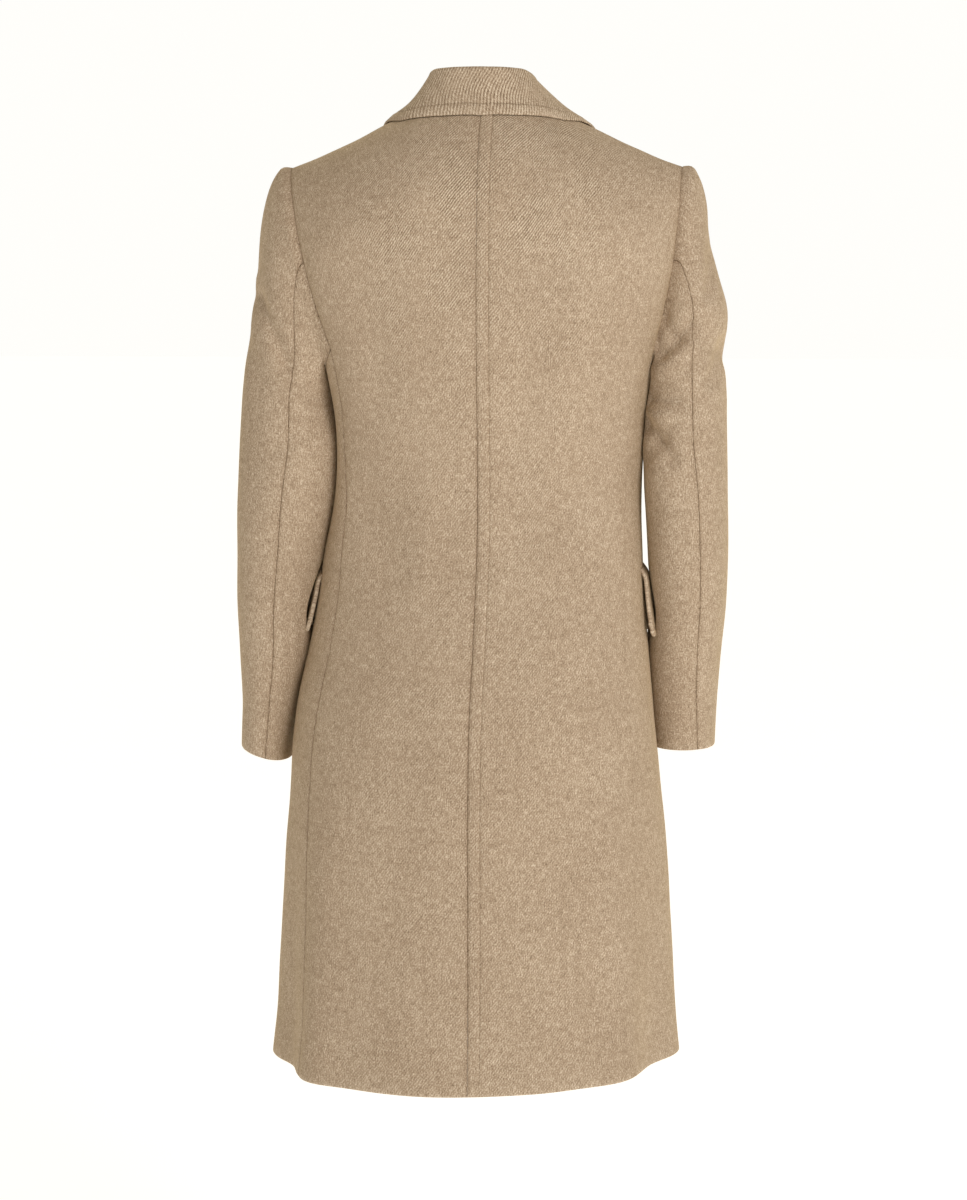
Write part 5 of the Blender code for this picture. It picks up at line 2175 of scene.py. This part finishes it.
@dataclass
class Buttons:
    """Four-hole horn buttons on the right front, with thread and worked buttonholes."""

    finishes: Finishes
    sewing: Sewing
    levels: dict[str, float] = field(
        default_factory=lambda: {"top": -322.0, "middle": -424.0, "low": -526.0}
    )
    radius: float = 13.0
    gap: float = 0.55
    sides: int = 72
    hole_radius: float = 1.15
    hole_off: float = 2.5
    drill_span: tuple[float, float] = (-2.0, 6.0)
    thread_points: int = 9
    thread_rise: float = 3.0
    thread_bend: float = 0.35
    thread_start: float = 0.1
    purl_points: int = 24
    purl_lift: float = 0.15
    slit: tuple[float, float] = (-4.0, 26.0)
    slit_half: float = 1.0
    # Section of a button: radius share, height
    section: tuple[tuple[float, float], ...] = (
        (0.0, 0.0), (0.86, 0.0), (0.94, 0.3), (0.99, 0.9), (1.0, 1.6), (1.0, 2.3), (0.985, 2.9), (0.95, 3.4),
        (0.9, 3.65), (0.85, 3.7), (0.8, 3.6), (0.755, 3.3), (0.72, 3.05), (0.66, 2.9), (0.0, 2.75),
    )

    def axes(self, level: float) -> tuple[Array, Array, Array, Array]:
        """Middle of a button's back, and its directions to the viewer's right, up and outward.

        Args:
            level: Level of the button.

        Returns:
            The middle and the three directions.
        """
        surface = FORM.front_cloth(Side.RIGHT)
        angle = FORM.front_angle(Side.RIGHT, np.zeros(1), np.array([level]))
        reach = FORM.reach_at(angle, np.array([level]))
        normal = FORM.normal(surface, angle, reach)[0]
        across = unit(np.cross(np.array([0.0, 0.0, 1.0]), normal))
        return surface(angle, reach)[0] + normal * self.gap, across, np.cross(normal, across), normal

    def turned(self, name: str, section: Array, place: tuple[Array, Array, Array, Array]) -> bpy.types.Mesh:
        """Mesh of a section turned about an axis, closed at its ends.

        Args:
            name: Name of the mesh.
            section: Radii and heights, with a radius of 0 at both ends.
            place: Middle and directions of the turned form.

        Returns:
            The mesh.
        """
        middle, across, up, normal = place
        turns = np.linspace(0.0, 2.0 * math.pi, self.sides, endpoint=False)
        spokes = np.cos(turns)[:, None] * across + np.sin(turns)[:, None] * up
        rings = section[1:-1]
        points = [middle + section[0][1] * normal, middle + section[-1][1] * normal]
        points += [middle + r * spoke + h * normal for r, h in rings for spoke in spokes]
        faces = []
        for k in range(self.sides):
            n = (k + 1) % self.sides
            faces.append((0, 2 + n, 2 + k))
            end = 2 + (len(rings) - 1) * self.sides
            faces.append((1, end + k, end + n))
            for r in range(len(rings) - 1):
                low = 2 + r * self.sides
                high = low + self.sides
                faces.append((low + k, low + n, high + n, high + k))
        mesh = bpy.data.meshes.new(name)
        mesh.from_pydata((np.array(points) * MM).tolist(), [], faces)
        mesh.polygons.foreach_set("use_smooth", np.ones(len(faces), bool))
        return mesh

    def hole_places(self, place: tuple[Array, Array, Array, Array]) -> list[Array]:
        """Middles of the four holes, on the button's back.

        Args:
            place: Middle and directions of the button.

        Returns:
            The middles.
        """
        middle, across, up, _ = place
        corners = (1, 1), (-1, 1), (-1, -1), (1, -1)
        return [middle + self.hole_off * (a * across + b * up) for a, b in corners]

    def build(self) -> None:
        """Make the buttons, their thread and the buttonholes."""
        shape = np.array(self.section) * (self.radius, 1.0)
        low, high = self.drill_span
        drill = np.array([(0.0, low), (self.hole_radius, low), (self.hole_radius, high), (0.0, high)])
        for word, level in self.levels.items():
            place = self.axes(level)
            name = f"button_{word}"
            thing = add_object(f"{name}_horn", self.turned(name, shape, place), self.finishes.horn)
            holes = self.hole_places(place)
            drills = []
            for hole in holes:
                bit = add_object("drill", self.turned("drill", drill, (hole, *place[1:])), self.finishes.horn)
                drills.append(bit)
                cut = thing.modifiers.new("hole", "BOOLEAN")
                cut.operation, cut.object, cut.solver = "DIFFERENCE", bit, "EXACT"
            plain(thing)
            for bit in drills:
                bpy.data.objects.remove(bit)
            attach(thing, "root")
            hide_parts(name)
            LOG.info("%s: %d faces", thing.name, len(thing.data.polygons))
            self.sew(place, holes)

    def sew(self, place: tuple[Array, Array, Array, Array], holes: list[Array]) -> None:
        """Lay the thread through the holes and the stitches round the buttonhole.

        Args:
            place: Middle and directions of the button.
            holes: Middles of its holes.
        """
        middle, across, up, normal = place
        for a, b in ((0, 1), (3, 2)):
            share = np.linspace(0.0, 1.0, self.thread_points)[:, None]
            arch = self.thread_rise * np.sin(math.pi * share) ** self.thread_bend + self.thread_start
            self.sewing.ties.follow(lerp(holes[a], holes[b], share) + arch * normal)
        first, last = self.slit
        surface = FORM.front_cloth(Side.RIGHT)
        for row in (1.0, -1.0):
            x = np.linspace(first, last, self.purl_points)
            level = np.full_like(x, middle[2] + row * self.slit_half)
            angle = FORM.front_angle(Side.RIGHT, x, level)
            reach = FORM.reach_at(angle, level)
            points = surface(angle, reach) + self.purl_lift * FORM.normal(surface, angle, reach)
            self.sewing.purls.follow(points, np.tile(up, (len(points), 1)))


@dataclass
class Studio:
    """Plain pale studio with soft light, seen by a camera at the photograph's angle."""

    camera_place: tuple[float, float, float] = (-0.2702, 3.0882, -0.124)
    azimuth: float = 5.058
    pitch: float = 7.16
    lens: float = 88.56
    sensor: float = 36.0
    clip_end: float = 100.0
    floor_level: float = -1.56
    floor_half: float = 30.0
    floor_grain: float = 0.25
    floor_dark: str = "F1EFE9"
    floor_light: str = "F4F2EC"
    glow: float = 0.68
    sky: tuple[float, float, float] = (1.0, 0.992, 0.96)
    room: float = 0.325
    room_lean: tuple[float, float, float] = (0.05, 0.0, 0.09)
    room_color: tuple[float, float, float] = (1.0, 0.92, 0.79)
    backdrop: tuple[float, float] = (-0.45, -0.8)
    key_place: tuple[float, float, float] = (-1.95, 2.95, 1.35)
    key_size: float = 1.1
    key_power: float = 76.0
    key_color: tuple[float, float, float] = (1.0, 0.97, 0.925)
    key_aim: tuple[float, float, float] = (0.0, 0.0, -0.5)

    def build(self) -> None:
        """Make the camera, the light, the world and the floor."""
        scene = bpy.context.scene
        a, p = math.radians(self.azimuth), math.radians(self.pitch)
        forward = Vector((math.sin(a) * math.cos(p), -math.cos(a) * math.cos(p), -math.sin(p)))
        data = bpy.data.cameras.new("camera")
        data.lens, data.sensor_width, data.clip_end = self.lens, self.sensor, self.clip_end
        camera = bpy.data.objects.new("camera", data)
        camera.location = self.camera_place
        camera.rotation_euler = forward.to_track_quat("-Z", "Y").to_euler()
        scene.collection.objects.link(camera)
        scene.camera = camera
        lamp = bpy.data.lights.new("key", "AREA")
        lamp.energy, lamp.size = self.key_power, self.key_size
        lamp.color = self.key_color
        light = bpy.data.objects.new("key", lamp)
        light.location = self.key_place
        aim = Vector(self.key_aim) - Vector(self.key_place)
        light.rotation_euler = aim.to_track_quat("-Z", "Y").to_euler()
        scene.collection.objects.link(light)
        scene.world = self.room_light()
        scene.view_settings.view_transform = "Standard"
        self.floor()

    def room_light(self) -> bpy.types.World:
        """Light of the room: a white backdrop behind the coat, and a dimmer room round it.

        Returns:
            The world.
        """
        world = bpy.data.worlds.new("studio")
        world.use_nodes = True
        tree = world.node_tree
        way = add_node(tree, "ShaderNodeTexCoord").outputs["Generated"]
        y = add_node(tree, "ShaderNodeSeparateXYZ", {0: way}).outputs["Y"]
        lean = add_node(
            tree, "ShaderNodeVectorMath", {0: way, 1: self.room_lean}, operation="DOT_PRODUCT"
        ).outputs["Value"]
        room = add_node(tree, "ShaderNodeMath", {0: lean, 1: self.room}, operation="ADD").outputs[0]
        low, high = self.backdrop
        behind = add_node(
            tree, "ShaderNodeMapRange", {"Value": y, "From Min": low, "From Max": high},
            interpolation_type="SMOOTHSTEP",
        ).outputs[0]
        bright = add_node(tree, "ShaderNodeMix", {0: behind, 2: room, 3: 1.0}).outputs[0]
        color = add_node(
            tree, "ShaderNodeMix", {0: behind, 6: (*self.room_color, 1.0), 7: (*self.sky, 1.0)},
            data_type="RGBA",
        ).outputs[2]
        background = tree.nodes["Background"]
        tree.links.new(color, background.inputs["Color"])
        tree.links.new(bright, background.inputs["Strength"])
        return world

    def floor(self) -> None:
        """Make the floor of white acrylic, softly lit from below."""
        material, tree, shader = new_material("acrylic_matt_white")
        place = add_node(tree, "ShaderNodeTexCoord").outputs["Object"]
        grain = add_node(
            tree, "ShaderNodeTexNoise", {"Vector": place, "Scale": 1.0 / self.floor_grain, "Detail": 2.0}
        ).outputs[0]
        ramp = add_node(tree, "ShaderNodeValToRGB", {0: grain})
        ramp.color_ramp.elements[0].color = linear(self.floor_dark)
        ramp.color_ramp.elements[1].color = linear(self.floor_light)
        tree.links.new(ramp.outputs[0], shader.inputs["Base Color"])
        shader.inputs["Roughness"].default_value = 1.0
        shader.inputs["Specular IOR Level"].default_value = 0.0
        shader.inputs["Emission Color"].default_value = (*self.sky, 1.0)
        shader.inputs["Emission Strength"].default_value = self.glow
        half = self.floor_half
        mesh = bpy.data.meshes.new("floor")
        corners = [(-half, -half), (half, -half), (half, half), (-half, half)]
        mesh.from_pydata([(x, y, self.floor_level) for x, y in corners], [], [(0, 1, 2, 3)])
        add_object("floor", mesh, material)


def main() -> None:
    """Build the coat and the studio."""
    logging.basicConfig(level=logging.INFO, format="%(name)s %(message)s")
    Studio().build()
    finishes, sewing = Finishes(), Sewing()
    BodyPanels(finishes, sewing).build()
    Sleeves(finishes).build()
    Collar(finishes, sewing).build()
    Lapels(finishes, sewing).build()
    PocketFlaps(finishes, sewing).build()
    Buttons(finishes, sewing).build()
    sewing.dress(finishes)


if __name__ == "__main__":
    main()
